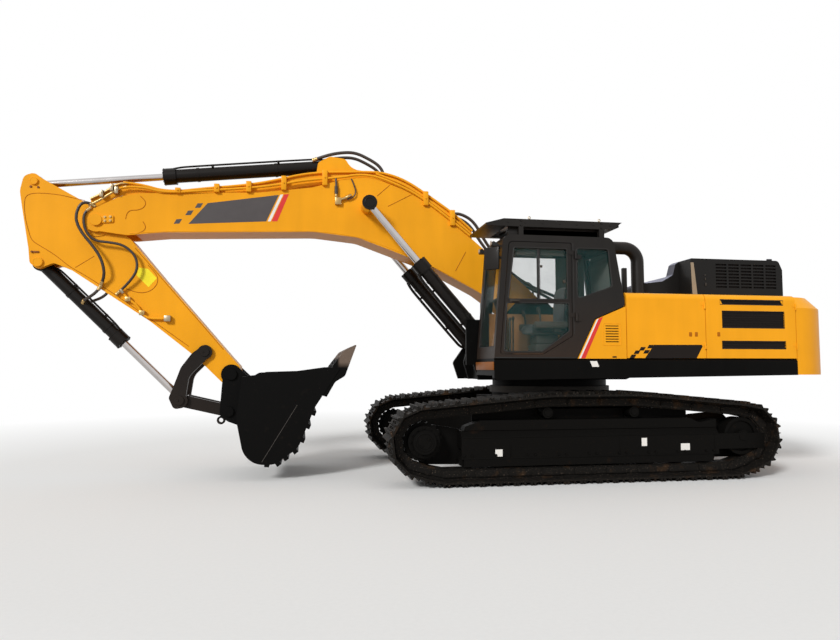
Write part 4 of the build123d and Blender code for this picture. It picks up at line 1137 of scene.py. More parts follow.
@dataclass
class CarriedParts:
    """Finishes of the CAD nodes that show as they are."""

    finishes: dict[Finish, str] = field(
        default_factory=lambda: {
            Finish.BODY: "boom arm side_panel house_frame service_door cooler_door pump_door "
                         "right_panel tool_box fuel_tank hydraulic_tank counterweight",
            Finish.BLACK: "main_frame deck_left deck_right exhaust",
            Finish.UNDER: "car_body track_frame_left track_frame_right sprockets idlers "
                          "track_rollers",
            Finish.CAB: "cab_shell roof_guard cab_door intake_pipe handrails",
            Finish.HOOD: "engine_hood",
            Finish.CYLINDER: "boom_barrels arm_barrel bucket_barrel guide_links bucket_link",
            Finish.TRACK: "track_left track_right",
            Finish.CAST: "slew_ring engine",
            Finish.BUCKET: "bucket",
            Finish.CHROME: "boom_rods arm_rod bucket_rod",
            Finish.GLASS: "cab_glass door_glass",
            Finish.RUBBER: "work_lamps",
            Finish.TRIM: "operator_seat",
        }
    )

    def build(self, nodes: dict) -> None:
        """Gives each CAD node its procedural material.

        Args:
            nodes: The frame's nodes by name.
        """
        for finish, names in self.finishes.items():
            for thing in (nodes[name] for name in names.split()):
                for place in thing.material_slots:
                    place.material = material(finish)
                if not thing.material_slots:
                    thing.data.materials.append(material(finish))
            log.info("%s: %s", finish.name, names)


# ---------------------------------------------------------------- cab


@dataclass
class Cab:
    """Seals, handle, latches, wiper, lamps, mirror, guard bolts and lining of the cab."""

    side_y: float = 1.49
    mirror_place: Pair = (1.235, 1.4)
    door_upper: tuple = (
        (1.058, 2.24, 0.03), (0.978, 2.885, 0.03), (0.287, 2.885, 0.03),
        (0.287, 2.248, 0.03),
    )
    door_lower: tuple = (
        (1.115, 1.598, 0.03), (1.075, 2.198, 0.03), (0.272, 2.205, 0.03),
        (0.272, 1.853, 0.03), (0.628, 1.598, 0.03),
    )
    rear_pane: tuple = (
        (0.162, 2.898, 0.04), (-0.262, 2.898, 0.04), (-0.31, 2.42, 0.04),
        (0.162, 2.255, 0.04),
    )
    windscreen: tuple = (
        (1.212, 0.715, 1.66), (1.212, 1.415, 1.66), (1.112, 1.415, 2.91),
        (1.112, 0.715, 2.91),
    )

    def seal(self, name: str, rows: tuple, y: float, body: str) -> None:
        """A rubber seal round a pane."""
        Piece(name).loop(across(rounded(rows, 4), y), 0.009).done(Finish.RUBBER, body)

    def door_trim(self) -> None:
        """Seals, divider, latch and handle of the door."""
        y = self.side_y
        self.seal("seal_door_upper", self.door_upper, y - 0.004, "cab_door")
        self.seal("seal_door_lower", self.door_lower, y - 0.004, "cab_door")
        divider = Piece("door_pane_divider")
        divider.box((0.65, y - 0.04, 2.248), (0.676, y - 0.012, 2.887))
        divider.box((0.64, y - 0.016, 2.248), (0.648, y - 0.01, 2.887), 0.001)
        divider.done(Finish.RUBBER, "cab_door")
        latch = Piece("door_pane_latch")
        latch.box((0.315, y - 0.014, 2.455), (0.345, y + 0.004, 2.495), 0.004)
        latch.box((0.612, y - 0.014, 2.64), (0.64, y + 0.002, 2.672), 0.004)
        latch.done(Finish.TRIM, "cab_door")
        handle = Piece("door_handle")
        handle.box((0.912, y, 2.205), (1.036, y + 0.006, 2.237), 0.004)
        grip = ((0.932, 0.024), (0.95, 0.034), (1.0, 0.034), (1.012, 0.024))
        handle.tube([(x, y + out, 2.22) for x, out in grip], 0.008, 10)
        handle.pin(1.026, 2.221, y + 0.002, y + 0.01, 0.008)
        handle.done(Finish.TRIM, "cab_door")

    def pane_trim(self) -> None:
        """Seals round the fixed panes, and the wiper."""
        self.seal("seal_side_pane", self.rear_pane, self.side_y - 0.006, "upper")
        Piece("seal_windscreen").loop(self.windscreen, 0.011).done(Finish.RUBBER, "upper")
        wiper = Piece("wiper")
        wiper.bar((1.222, 0.8, 1.7), (1.236, 0.8, 1.7), 0.022)
        arm = [(1.236, 0.8, 1.7), (1.212, 0.835, 2.04), (1.186, 0.87, 2.29)]
        wiper.tube(arm, 0.007, 8)
        wiper.tube([(1.194, 0.87, 2.02), (1.156, 0.87, 2.5)], 0.007, 8)
        wiper.done(Finish.RUBBER, "upper")

    def mirror_plan(self, half: float, low: float, high: float) -> list[Pair]:
        """A layer of the mirror from above, which stands at 45 degrees to the machine.

        Args:
            half: Half the layer's width.
            low: Where the layer starts, outwards from the mirror's middle.
            high: Where it ends.

        Returns:
            The layer's corners as (x, y).
        """
        slant = math.sqrt(0.5)
        x, y = self.mirror_place
        return [
            (x + (along + out) * slant, y + (out - along) * slant)
            for along, out in oblong(-half, half, low, high)
        ]

    def outside(self) -> None:
        """Lamp lenses, mirror, guard bolts and roof details."""
        lens, rims = Piece("lamp_lenses"), Piece("lamp_rims")
        for side in (0.76, 1.33):
            rims.bar((1.223, side, 2.952), (1.229, side, 2.952), 0.034)
            lens.dome((1.227, side, 2.952), (1, 0, 0), 0.03, 0.01)
        rims.done(Finish.ZINC, "upper")
        lens.done(Finish.LENS, "upper", "window_glass")
        face = Piece("mirror_face")
        face.plan(self.mirror_plan(0.088, -0.0155, -0.013), 2.632, 2.868)
        face.done(Finish.MIRROR, "upper")
        shell = Piece("mirror_shell")
        shell.plan(self.mirror_plan(0.103, -0.0125, 0.022), 2.61, 2.89, 0.01)
        shell.box((1.132, 1.443, 2.742), (1.192, 1.457, 2.758), 0.004)
        shell.done(Finish.CAB, "upper")
        bolts = Piece("guard_bolts")
        for x in (-0.18, 0.88):
            for y, out in ((0.65, -1), (1.48, 1)):
                for z in (3.165, 3.225):
                    bolts.bolt((x, y, z), (0, out, 0), 0.012)
        bolts.bolts([(-0.3 + 0.225 * k, 3.198) for k in range(7)], 1.48, 0.008)
        bolts.done(Finish.CAB, "upper", "dark_paint")
        roof = Piece("roof_fittings")
        for x in (0.759, -0.169):
            roof.bar((x, 1.44, 3.24), (x, 1.44, 3.262), 0.012)
            roof.ring((x, 1.44, 3.272), OUT, 0.014, 0.005)
        roof.done(Finish.ZINC, "upper")
        strip = Piece("guard_side_strip").box((-0.25, 1.4, 3.04), (1.03, 1.41, 3.156))
        strip.done(Finish.CAB, "upper", "dark_paint")

    def sill(self) -> None:
        """The rubber strip under the cab and the line behind the door."""
        y = self.side_y
        lines = Piece("cab_sill")
        lines.box((0.19, y - 0.004, 1.517), (1.228, y + 0.006, 1.532), 0.002)
        lines.tube([(0.21, y + 0.001, 1.82), (0.21, y + 0.001, 2.96)], 0.005, 8)
        lines.done(Finish.RUBBER, "upper")

    def interior(self) -> None:
        """Blind, lining, rear panel and instruments seen through the panes."""
        blind = Piece("roof_blind")
        blind.box((0.2, 0.72, 2.905), (0.98, 1.4, 2.925), 0.004)
        blind.pin(0.93, 2.88, 0.74, 1.38, 0.03)
        blind.box((0.3, 1.425, 2.8), (0.92, 1.43, 2.905), 0.002)
        blind.done(Finish.TRIM, "upper")
        lining = Piece("cab_lining")
        lining.box((0.02, 0.694, 1.6), (1.08, 0.71, 2.12), 0.004)
        lining.box((-0.26, 0.76, 1.98), (-0.02, 1.4, 2.22), 0.02)
        lining.box((0.3, 0.72, 1.57), (0.9, 1.4, 1.585), 0.003)
        lining.done(Finish.INNER, "upper", "seat_trim")
        rear = Piece("cab_rear_panel")
        rear.box((-0.27, 0.694, 2.3), (0.14, 0.716, 2.9), 0.006)
        rear.box((-0.362, 0.74, 2.28), (-0.348, 1.38, 2.92), 0.004)
        rear.done(Finish.LINING, "upper", "seat_trim")
        pod = [(0.96, 2.1, 0.02), (1.03, 2.3, 0.02), (1.0, 2.33, 0.02), (0.93, 2.12, 0.02)]
        dash = Piece("instrument_pod").slab(rounded(pod), 0.7, 0.86, 0.006)
        dash.done(Finish.TRIM, "upper", "seat_trim")

    def build(self) -> None:
        """Builds the cab's pieces."""
        self.door_trim()
        self.pane_trim()
        self.outside()
        self.sill()
        self.interior()


# ---------------------------------------------------------------- seat


@dataclass
class OperatorSeat:
    """The operator's seat, its arm rests, console and levers."""

    y: float = 1.06
    width: float = 0.24
    soft: float = 0.16  # how far the pads' corners are drawn in
    groove_depth: float = 0.01
    groove_y: float = 0.45  # shares of half the pad's width
    groove_width: float = 0.05

    def pad(self, name: str, size: Point, place: Point, lean: float, crown: float) -> None:
        """A crowned cushion with rounded sides and two sewn channels.

        Args:
            name: The piece's name.
            size: Half lengths along x, y and z.
            place: The centre.
            lean: Turn about the y axis, in radians.
            crown: How far the broad face rises.
        """
        part = bmesh.new()
        bmesh.ops.create_cube(part, size=2.0)
        bmesh.ops.subdivide_edges(part, edges=part.edges, cuts=11, use_grid_fill=True)
        turn = Matrix.Rotation(lean, 4, "Y")
        for vertex in part.verts:
            u, v, w = vertex.co
            x = u * (1 - self.soft * (v * v + w * w) / 2)
            y = v * (1 - self.soft * (u * u + w * w) / 2)
            z = w * (1 - self.soft * (u * u + v * v) / 2)
            rise = crown * max(0.0, (1 - u * u) * (1 - v * v)) * (1 if w > 0 else 0.3)
            across_groove = (abs(v) - self.groove_y) / self.groove_width
            groove = self.groove_depth * math.exp(-across_groove ** 2) * (w > 0.5)
            height = z * size[2] + math.copysign(rise, w) - groove
            vertex.co = Vector(place) + turn @ Vector((x * size[0], y * size[1], height))
        thing = Piece(name).join(part).done(Finish.SEAT, "upper", "seat_trim")
        if name == "seat_cushion":
            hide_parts("operator_seat")

    def build(self) -> None:
        """Builds the seat."""
        y, half = self.y, self.width
        self.pad("seat_cushion", (0.245, half - 0.01, 0.06), (0.455, y, 1.89), -0.03, 0.012)
        self.pad("seat_back", (0.045, half - 0.03, 0.25), (0.2, y, 2.19), -0.06, 0.01)
        frame = Piece("seat_frame")
        frame.box((0.27, y - 0.155, 1.562), (0.61, y + 0.155, 1.7), 0.01)
        frame.box((0.3, y - 0.14, 1.7), (0.59, y + 0.14, 1.822), 0.02)
        for way in (-1, 1):
            side, rail = y + way * 0.296, y + way * 0.22
            frame.box((0.2, side - 0.04, 1.895), (0.68, side + 0.04, 1.98), 0.02)
            frame.box((0.31, rail - 0.03, 1.85), (0.41, rail + 0.06, 1.9), 0.006)
            frame.run([(0.6, 1.975), (0.6, 2.06), (0.62, 2.12)], side, 0.012)
            frame.dome((0.622, side, 2.12), (0.2, 0, 1), 0.024, 0.045)
        frame.box((0.885, 0.728, 1.562), (0.975, 0.852, 2.115), 0.02)
        for foot in (y - 0.075, y + 0.055):
            frame.box((0.855, foot - 0.04, 1.562), (0.995, foot + 0.04, 1.61), 0.01)
            frame.bar((0.88, foot, 1.61), (0.88, foot, 2.02), 0.01)
            frame.dome((0.88, foot, 2.03), UP, 0.02, 0.028)
        frame.done(Finish.TRIM, "upper", "seat_trim")


# ---------------------------------------------------------------- house


@dataclass
class House:
    """Panels, stripe, badge, grilles, locks and top fittings of the engine house."""

    side_y: float = 1.49
    check: tuple = ((-0.052, 0.022), (0.012, 0.022), (0.04, -0.022), (-0.024, -0.022))
    grille_rows: tuple = (
        (-2.7, -1.79, 2.222, 2.284), (-2.715, -1.815, 1.918, 2.136),
        (-2.725, -1.805, 1.647, 1.746),
    )

    def marks(self) -> None:
        """The slanted white and red stripe, and the bare badge with its chequered tail."""
        for name, finish, body, outline in (
            ("stripe_white", Finish.WHITE, "upper",
             [(-0.092, 2.005), (0.151, 1.518), (0.128, 1.518), (-0.114, 2.014)]),
            ("stripe_red", Finish.RED, "upper",
             [(-0.115, 2.014), (0.127, 1.518), (0.07, 1.518), (-0.173, 2.038)]),
            ("house_badge", Finish.DARK, "service_door",
             [(-0.857, 1.691), (-1.539, 1.695), (-1.44, 1.522), (-0.728, 1.52)]),
        ):
            Piece(name).film(outline, self.side_y).done(finish, body)
        squares = [(-0.8, 1.668), (-0.69, 1.64), (-0.745, 1.602), (-0.615, 1.596),
                   (-0.56, 1.545)]
        checks = Piece("house_badge_checks").films(squares, self.check, self.side_y)
        checks.done(Finish.DARK, "service_door")

    def louvre(self) -> None:
        """The framed louvre behind the cab."""
        y = self.side_y
        corners = [(-0.17, 1.955), (-0.408, 1.955), (-0.408, 1.682), (-0.17, 1.682)]
        outline = rounded([(*corner, 0.02) for corner in corners], 4)
        frame = Piece("louvre_frame").loop(across(outline, y), 0.004)
        frame.done(Finish.BODY, "upper", "body_paint")
        slats = Piece("louvre_slats")
        for z in (1.72 + 0.033 * number for number in range(7)):
            slats.slab(oblong(-0.38, -0.205, z, z + 0.004), y - 0.046, y - 0.004, 0)
        slats.done(Finish.DARK, "upper")

    def grilles(self) -> None:
        """Dark slatted inserts in the door's three openings, on both sides."""
        y = self.side_y
        for body in ("cooler_door", "pump_door"):
            mesh, edge = Piece(f"{body}_grilles"), Piece(f"{body}_grille_frames")
            for x0, x1, z0, z1 in self.grille_rows:
                mesh.box((x0, y - 0.018, z0), (x1, y - 0.014, z1), 0)
                count = max(3, round((z1 - z0) / 0.03))
                for number in range(count):
                    z = z0 + (z1 - z0) * (number + 0.5) / count
                    slat = oblong(x0, x1, z - 0.008, z + 0.001)
                    mesh.slab(slat, y - 0.016, y - 0.003, 0)
                edge.loop(across(oblong(x0, x1, z0, z1), y), 0.005, 6)
            corners = Piece(f"{body}_grille_corners")
            x0, x1, z0, z1 = self.grille_rows[0]
            for corner in ([(x1, z0), (x1 - 0.036, z0), (x1, z1)],
                           [(x0, z1), (x0 + 0.036, z1), (x0, z0)]):
                corners.slab(corner, y - 0.017, y - 0.0005, 0)
            if body == "pump_door":
                for piece in (mesh, edge, corners):
                    piece.mirror()
            mesh.done(Finish.DARK, body)
            edge.done(Finish.RUBBER, body)
            corners.done(Finish.BODY, body, "body_paint")

    def locks(self) -> None:
        """Flush locks on the doors in the dark orange of the painted seam shade, the side panel's
        eye and the skirt's blank label.
        """
        y = self.side_y
        for body, places in (
            ("service_door", ((-1.363, 1.829), (-1.444, 1.83))),
            ("cooler_door", ((-1.76, 1.833),)),
        ):
            lock = Piece(f"{body}_locks")
            for x, z in places:
                corners = oblong(x - 0.02, x + 0.02, z - 0.028, z + 0.028)
                plate = rounded([(*corner, 0.01) for corner in corners])
                lock.slab(plate, y - 0.001, y + 0.004, 0.001)
                lock.pin(x, z + 0.008, y, y + 0.007, 0.008)
            lock.done(Finish.SEAM_SHADE, body)
        tie = Piece("side_panel_eye")
        tie.box((-0.345, y - 0.001, 1.528), (-0.29, y + 0.004, 1.545), 0.002)
        tie.done(Finish.DARK, "upper")
        label = Piece("skirt_label")
        label.film([(0.01, 1.484), (-0.082, 1.484), (-0.112, 1.413), (-0.02, 1.413)], y, 0.001)
        label.done(Finish.WHITE, "upper")

    def posts(self) -> None:
        """The deck's front beam ends in body orange darkened with painted shade, and the post
        behind the cab.
        """
        nose = Piece("deck_front_beam_ends")
        nose.box((1.238, 0.66, 1.372), (1.256, 1.478, 1.475), 0.006)
        nose.box((0.838, -1.478, 1.372), (0.856, -1.3, 1.475), 0.006)
        post = Piece("rear_post").box((-0.79, 0.88, 2.354), (-0.73, 0.94, 2.752), 0.008)
        post.done(Finish.CAB, "upper", "dark_paint")
        nose.done(Finish.SHADED_ORANGE, "upper", "lamp_trim")

    def build(self) -> None:
        """Builds the house's pieces."""
        self.marks()
        self.louvre()
        self.grilles()
        self.locks()
        self.posts()


@dataclass
class HoodTrim:
    """Beige edge, backing mesh, latches and ribs of the hood."""

    left_y: float = 1.0

    def build(self) -> None:
        """Builds the hood's pieces."""
        y = self.left_y
        strip = Piece("hood_edge_strip")
        strip.film([(-1.694, 2.842), (-1.738, 2.842), (-1.786, 2.38), (-1.712, 2.38)], y, 0.003)
        strip.done(Finish.BEIGE, "engine_hood")
        mesh = Piece("hood_grille_mesh").box((-3.01, y - 0.029, 2.48), (-2.05, y - 0.025, 2.85), 0)
        for x in (-3.0 + 0.025 * number for number in range(38)):
            mesh.box((x, y - 0.026, 2.48), (x + 0.004, y - 0.02, 2.85), 0)
        mesh.done(Finish.DARK, "engine_hood")
        latch = Piece("hood_latches")
        latch.box((-1.918, y, 2.52), (-1.9, y + 0.014, 2.565), 0.003)
        latch.box((-1.912, y, 2.6), (-1.898, y + 0.012, 2.635), 0.003)
        latch.pin(-1.905, 2.67, y, y + 0.012, 0.01)
        latch.done(Finish.CAST, "engine_hood")
        edge = Piece("hood_ribs")
        edge.box((-1.21, -0.52, 2.57), (-1.19, 0.66, 2.591), 0.002)
        edge.box((-2.95, 0.96, 2.89), (-2.88, 0.99, 2.925), 0.004)
        edge.done(Finish.HOOD, "engine_hood", "dark_paint")


# ---------------------------------------------------------------- boom


@dataclass
class BoomTrim:
    """Pipes, clamps, badge, welds and pin caps of the boom."""

    side_y: float = 0.245
    pipe_radius: float = 0.017
    pipe_ys: Pair = (0.222, 0.262)
    middle_y: float = 0.238
    plate_ys: Pair = (0.196, 0.204)
    plate_drops: Pair = (0.008, 0.16)  # below the upper pipe
    upper_route: tuple = (
        (6.254, 3.576), (6.103, 3.657), (5.967, 3.764), (5.859, 3.811), (5.718, 3.801),
        (5.56, 3.775), (5.4, 3.731), (5.161, 3.725), (4.892, 3.772), (4.25, 3.855),
        (3.85, 3.95), (3.594, 4.025), (3.297, 4.073), (2.996, 4.092), (2.691, 4.111),
        (2.425, 4.108), (2.114, 4.006), (1.758, 3.775), (1.398, 3.533), (1.186, 3.334),
    )
    lower_route: tuple = (
        (6.266, 3.487), (6.189, 3.516), (6.038, 3.623), (5.915, 3.713), (5.807, 3.751),
        (5.57, 3.745), (5.409, 3.701), (5.161, 3.702), (4.892, 3.735), (4.25, 3.8),
        (3.85, 3.868), (3.593, 3.93), (3.296, 3.972), (3.015, 4.009), (2.793, 4.06),
        (2.548, 4.042), (2.3, 3.956), (1.988, 3.82), (1.547, 3.51), (1.205, 3.24),
    )
    middle_route: tuple = (
        (2.56, 4.085), (2.3, 4.005), (2.05, 3.895), (1.65, 3.635), (1.3, 3.37),
        (1.2, 3.29),
    )
    flange: tuple = (
        (5.76, 3.14), (5.337, 3.185), (4.4, 3.219), (3.4, 3.258), (2.8, 3.2),
        (2.3, 3.032), (1.797, 2.842), (1.096, 2.48),
    )
    check: tuple = ((-0.052, 0.034), (0.018, 0.028), (0.052, -0.034), (-0.018, -0.028))
    film: float = 0.0015

    def pipes(self) -> None:
        """Three pipes a side along the top edge, the plate between them and their clamps."""
        pairs = tuple(zip((self.upper_route, self.lower_route), self.pipe_ys))
        pipe = Piece("boom_pipes")
        for route, y in pairs:
            pipe.run(route[3:], y, self.pipe_radius)
        pipe.run(self.middle_route, self.middle_y, self.pipe_radius)
        top, foot = self.plate_drops
        for (x0, z0), (x1, z1) in zip(self.upper_route, self.upper_route[1:]):
            plate = [(x0, z0 - top), (x1, z1 - top), (x1, z1 - foot), (x0, z0 - foot)]
            pipe.slab(plate, *self.plate_ys, 0)
        pipe.both_sides().done(Finish.BODY, "boom", "body_paint")
        ends = Piece("boom_tip_tubes")
        for route, y in pairs:
            ends.run(route[:5], y, self.pipe_radius * 0.92)
        ends.both_sides().done(Finish.BRASS, "boom")
        clamps = Piece("boom_pipe_clamps")
        for x, low, high in (
            (5.17, 3.69, 3.76), (4.678, 3.722, 3.835), (4.266, 3.745, 3.89),
            (3.807, 3.79, 3.985), (3.259, 3.88, 4.095), (1.86, 3.66, 3.86),
            (1.48, 3.39, 3.61),
        ):
            clamps.box((x - 0.035, 0.196, low), (x + 0.035, 0.292, high), 0.008)
            clamps.bolts([(x, (low + high) / 2)], 0.292, 0.011)
        clamps.both_sides().done(Finish.BODY, "boom", "body_paint")
        blocks = Piece("tip_clamp_blocks")
        for x, z in ((5.985, 3.735), (6.105, 3.65), (5.925, 3.7)):
            blocks.box((x - 0.022, 0.195, z - 0.055), (x + 0.022, 0.3, z + 0.035), 0.006)
            blocks.bolts([(x, z)], 0.3, 0.01)
        blocks.both_sides().done(Finish.ZINC, "boom")

    def badge(self) -> None:
        """Bare grey parallelogram with checks and the slanted stripes, on both sides."""
        y = self.side_y
        for name, finish, outline in (
            ("badge", Finish.GREY,
             [(4.794, 3.576), (3.872, 3.728), (4.033, 3.36), (5.031, 3.29)]),
            ("stripe_white", Finish.WHITE,
             [(3.852, 3.731), (3.814, 3.737), (3.975, 3.362), (4.013, 3.361)]),
            ("stripe_red", Finish.RED,
             [(3.802, 3.738), (3.738, 3.746), (3.887, 3.366), (3.963, 3.363)]),
        ):
            Piece(f"boom_{name}").film(outline, y, self.film).both_sides().done(finish, "boom")
        checks = Piece("boom_badge_checks")
        checks.films([(5.164, 3.318), (5.022, 3.438), (4.903, 3.54)], self.check, y, self.film)
        checks.both_sides().done(Finish.GREY, "boom")

    def welds(self) -> None:
        """Weld beads and the doubler's edge at the tip in dark orange painted shade, and the lower
        flange's edge.
        """
        y = self.side_y
        bead = Piece("boom_welds")
        for line in (((2.541, 3.771), (2.368, 3.93)), ((2.388, 3.633), (2.058, 3.813)),
                     ((1.433, 2.755), (1.284, 3.029))):
            bead.tube(across(line, y), 0.005, 6)
        hook = [(5.64, 3.634), (5.56, 3.57), (5.589, 3.484), (5.667, 3.447), (5.761, 3.444),
                (5.806, 3.391), (5.812, 3.324)]
        bead.run(hook, y, 0.005, 6)
        bead.run([(5.6, 3.299), (5.551, 3.233), (5.596, 3.164), (5.658, 3.145)], y, 0.005, 6)
        bead.both_sides().done(Finish.SEAM_SHADE, "boom", "body_paint")
        edge = Piece("boom_flange_edges").run(self.flange, y - 0.002, 0.007, 6)
        edge.both_sides().done(Finish.BODY, "boom", "body_paint")

    def pins(self) -> None:
        """Pin caps, retainers, the valve block and its riser."""
        y = self.side_y
        cap = Piece("boom_tip_pin").pin(6.17, 3.3, y, y + 0.03, 0.075, 32)
        keeper = [(6.15, 3.345), (5.96, 3.37), (5.955, 3.275), (6.15, 3.255)]
        cap.slab(rounded([(*corner, 0.02) for corner in keeper]), y + 0.001, y + 0.018, 0.003)
        cap.both_sides().done(Finish.BODY, "boom", "body_paint")
        places = ((5.995, 3.345), (5.995, 3.295), (6.06, 3.338), (6.06, 3.288))
        bolts = Piece("boom_tip_bolts").bolts(places, y + 0.018, 0.014)
        bolts.both_sides().done(Finish.BRASS, "boom")
        lift = Piece("lift_pin_caps").pin(2.674, 3.596, 0.574, 0.592, 0.101, 32)
        lift.ring((2.674, 0.59, 3.596), OUT, 0.062, 0.008)
        lift.both_sides().done(Finish.CYLINDER, "boom", "dark_paint")
        cluster = Piece("boom_valve_block")
        cluster.box((3.035, y, 3.62), (3.12, y + 0.05, 3.72), 0.008)
        for start, end, radius, sides in (
            ((3.05, 3.69), (2.975, 3.718), 0.018, 20),
            ((2.977, 3.718), (2.897, 3.762), 0.024, 6),
            ((3.104, 3.715), (3.104, 3.775), 0.018, 6),
        ):
            cluster.bar(*across((start, end), y + 0.03), radius, sides)
        cluster.done(Finish.BRASS, "boom")
        riser = Piece("boom_pipe_riser")
        riser.bar((3.104, 0.275, 3.765), (3.104, 0.275, 3.875), 0.024, 16)
        top = [(3.104, 0.275, 3.87), (3.106, 0.272, 3.93), (3.11, 0.262, 3.99)]
        riser.tube(smooth_path(top), 0.014)
        drop = [(2.898, 0.262, 3.99), (2.85, 0.275, 3.88), (2.836, 0.275, 3.775),
                (2.896, 0.275, 3.711), (2.96, 0.275, 3.7)]
        riser.tube(smooth_path(drop), 0.009)
        riser.done(Finish.HOSE, "boom")

    def build(self) -> None:
        """Builds the boom's pieces."""
        self.pipes()
        self.badge()
        self.welds()
        self.pins()


# ---------------------------------------------------------------- arm and links


@dataclass
class ArmTrim:
    """Welds, tubes, fittings, pins and the blank sticker of the arm."""

    side_y: float = 0.18
    tube_y: float = 0.215
    plate: tuple = (
        (6.33, 3.56), (6.466, 3.589), (6.666, 3.63), (6.93, 3.64), (7.04, 3.6),
        (7.056, 3.5), (7.041, 3.325), (6.989, 3.129), (6.95, 3.02), (6.86, 2.96),
        (6.716, 2.874), (6.6, 2.79), (6.5, 2.7), (6.25, 2.56), (5.7, 2.19),
        (5.0, 1.68),
    )
    back: tuple = ((5.7, 2.96), (5.42, 2.64), (5.12, 2.29), (4.78, 1.9), (4.56, 1.64))
    doubler: tuple = (
        (5.535, 2.741), (5.421, 2.626), (5.402, 2.509), (5.479, 2.407), (5.588, 2.371),
        (5.699, 2.386), (5.794, 2.425),
    )
    tube: tuple = (
        (5.845, 2.4), (5.8, 2.33), (5.706, 2.25), (5.64, 2.2), (5.59, 2.11),
        (5.52, 2.045), (5.4, 2.035), (5.3, 2.04),
    )

    def welds(self) -> None:
        """The side plate's edge and the doubler lines in dark orange painted shade, on both sides,
        and the sticker.
        """
        y = self.side_y
        bead = Piece("arm_welds").run(self.plate, y, 0.0045, 6).run(self.back, y, 0.0045, 6)
        bead.tube([(6.42, y, 2.685), (6.195, y, 2.84)], 0.004, 6)
        bead.run(self.doubler, y, 0.005, 6)
        bead.both_sides().done(Finish.SEAM_SHADE, "arm", "body_paint")
        outline = [(5.645, 2.704), (5.534, 2.69), (5.42, 2.57), (5.52, 2.45), (5.673, 2.603)]
        Piece("arm_sticker").film(outline, y, 0.001).done(Finish.YELLOW, "arm")

    def fittings(self) -> None:
        """The steel tube on the arm's side with its clamps and port block."""
        inner, y = self.side_y, self.tube_y
        tube = Piece("arm_side_tube").run(self.tube, y, 0.015)
        tube.both_sides().done(Finish.BODY, "arm", "body_paint")
        block = Piece("arm_port_block")
        for x, z in ((5.762, 2.285), (5.585, 2.11)):
            block.box((x - 0.035, inner, z - 0.03), (x + 0.035, y + 0.022, z + 0.03), 0.006)
            block.bolts([(x, z)], y + 0.022, 0.012)
        block.both_sides().done(Finish.BRASS, "arm")
        port = Piece("arm_ports").box((5.225, inner, 2.0), (5.31, y + 0.03, 2.08), 0.01)
        port.bar((5.85, y + 0.02, 2.412), (5.82, y + 0.01, 2.36), 0.022, 6)
        port.both_sides().done(Finish.ZINC, "arm")

    def pins(self) -> None:
        """Pin heads and their retaining bolts."""
        y = self.side_y
        heads = Piece("arm_pin_heads")
        for x, z, radius in ((6.865, 2.745, 0.062), (6.95, 3.79, 0.05)):
            heads.pin(x, z, y, y + 0.024, radius, 32)
            heads.ring((x, y + 0.022, z), OUT, radius * 0.8, 0.004)
        heads.both_sides().done(Finish.BODY, "arm", "body_paint")
        keeper = Piece("arm_pin_keepers")
        keeper.box((6.855, y, 2.862), (6.945, y + 0.012, 2.886), 0.004)
        keeper.bolts([(6.94, 2.874)], y + 0.01, 0.012)
        keeper.bolts([(6.99, 3.79), (6.985, 3.716), (6.897, 3.712)], y, 0.013)
        # The keepers and their bolts are body orange darkened with painted shade.
        keeper.both_sides().done(Finish.SHADED_ORANGE, "arm")
        guide = Piece("link_pin_heads")
        for x, z in ((4.79, 1.607), (5.09, 0.977)):
            guide.pin(x, z, 0.232, 0.252, 0.058, 28).bolts([(x + 0.02, z)], 0.252, 0.012)
        guide.both_sides().done(Finish.CYLINDER, "guide_links", "dark_paint")

    def build(self) -> None:
        """Builds the arm's pieces."""
        self.welds()
        self.fittings()
        self.pins()


# ---------------------------------------------------------------- cylinders


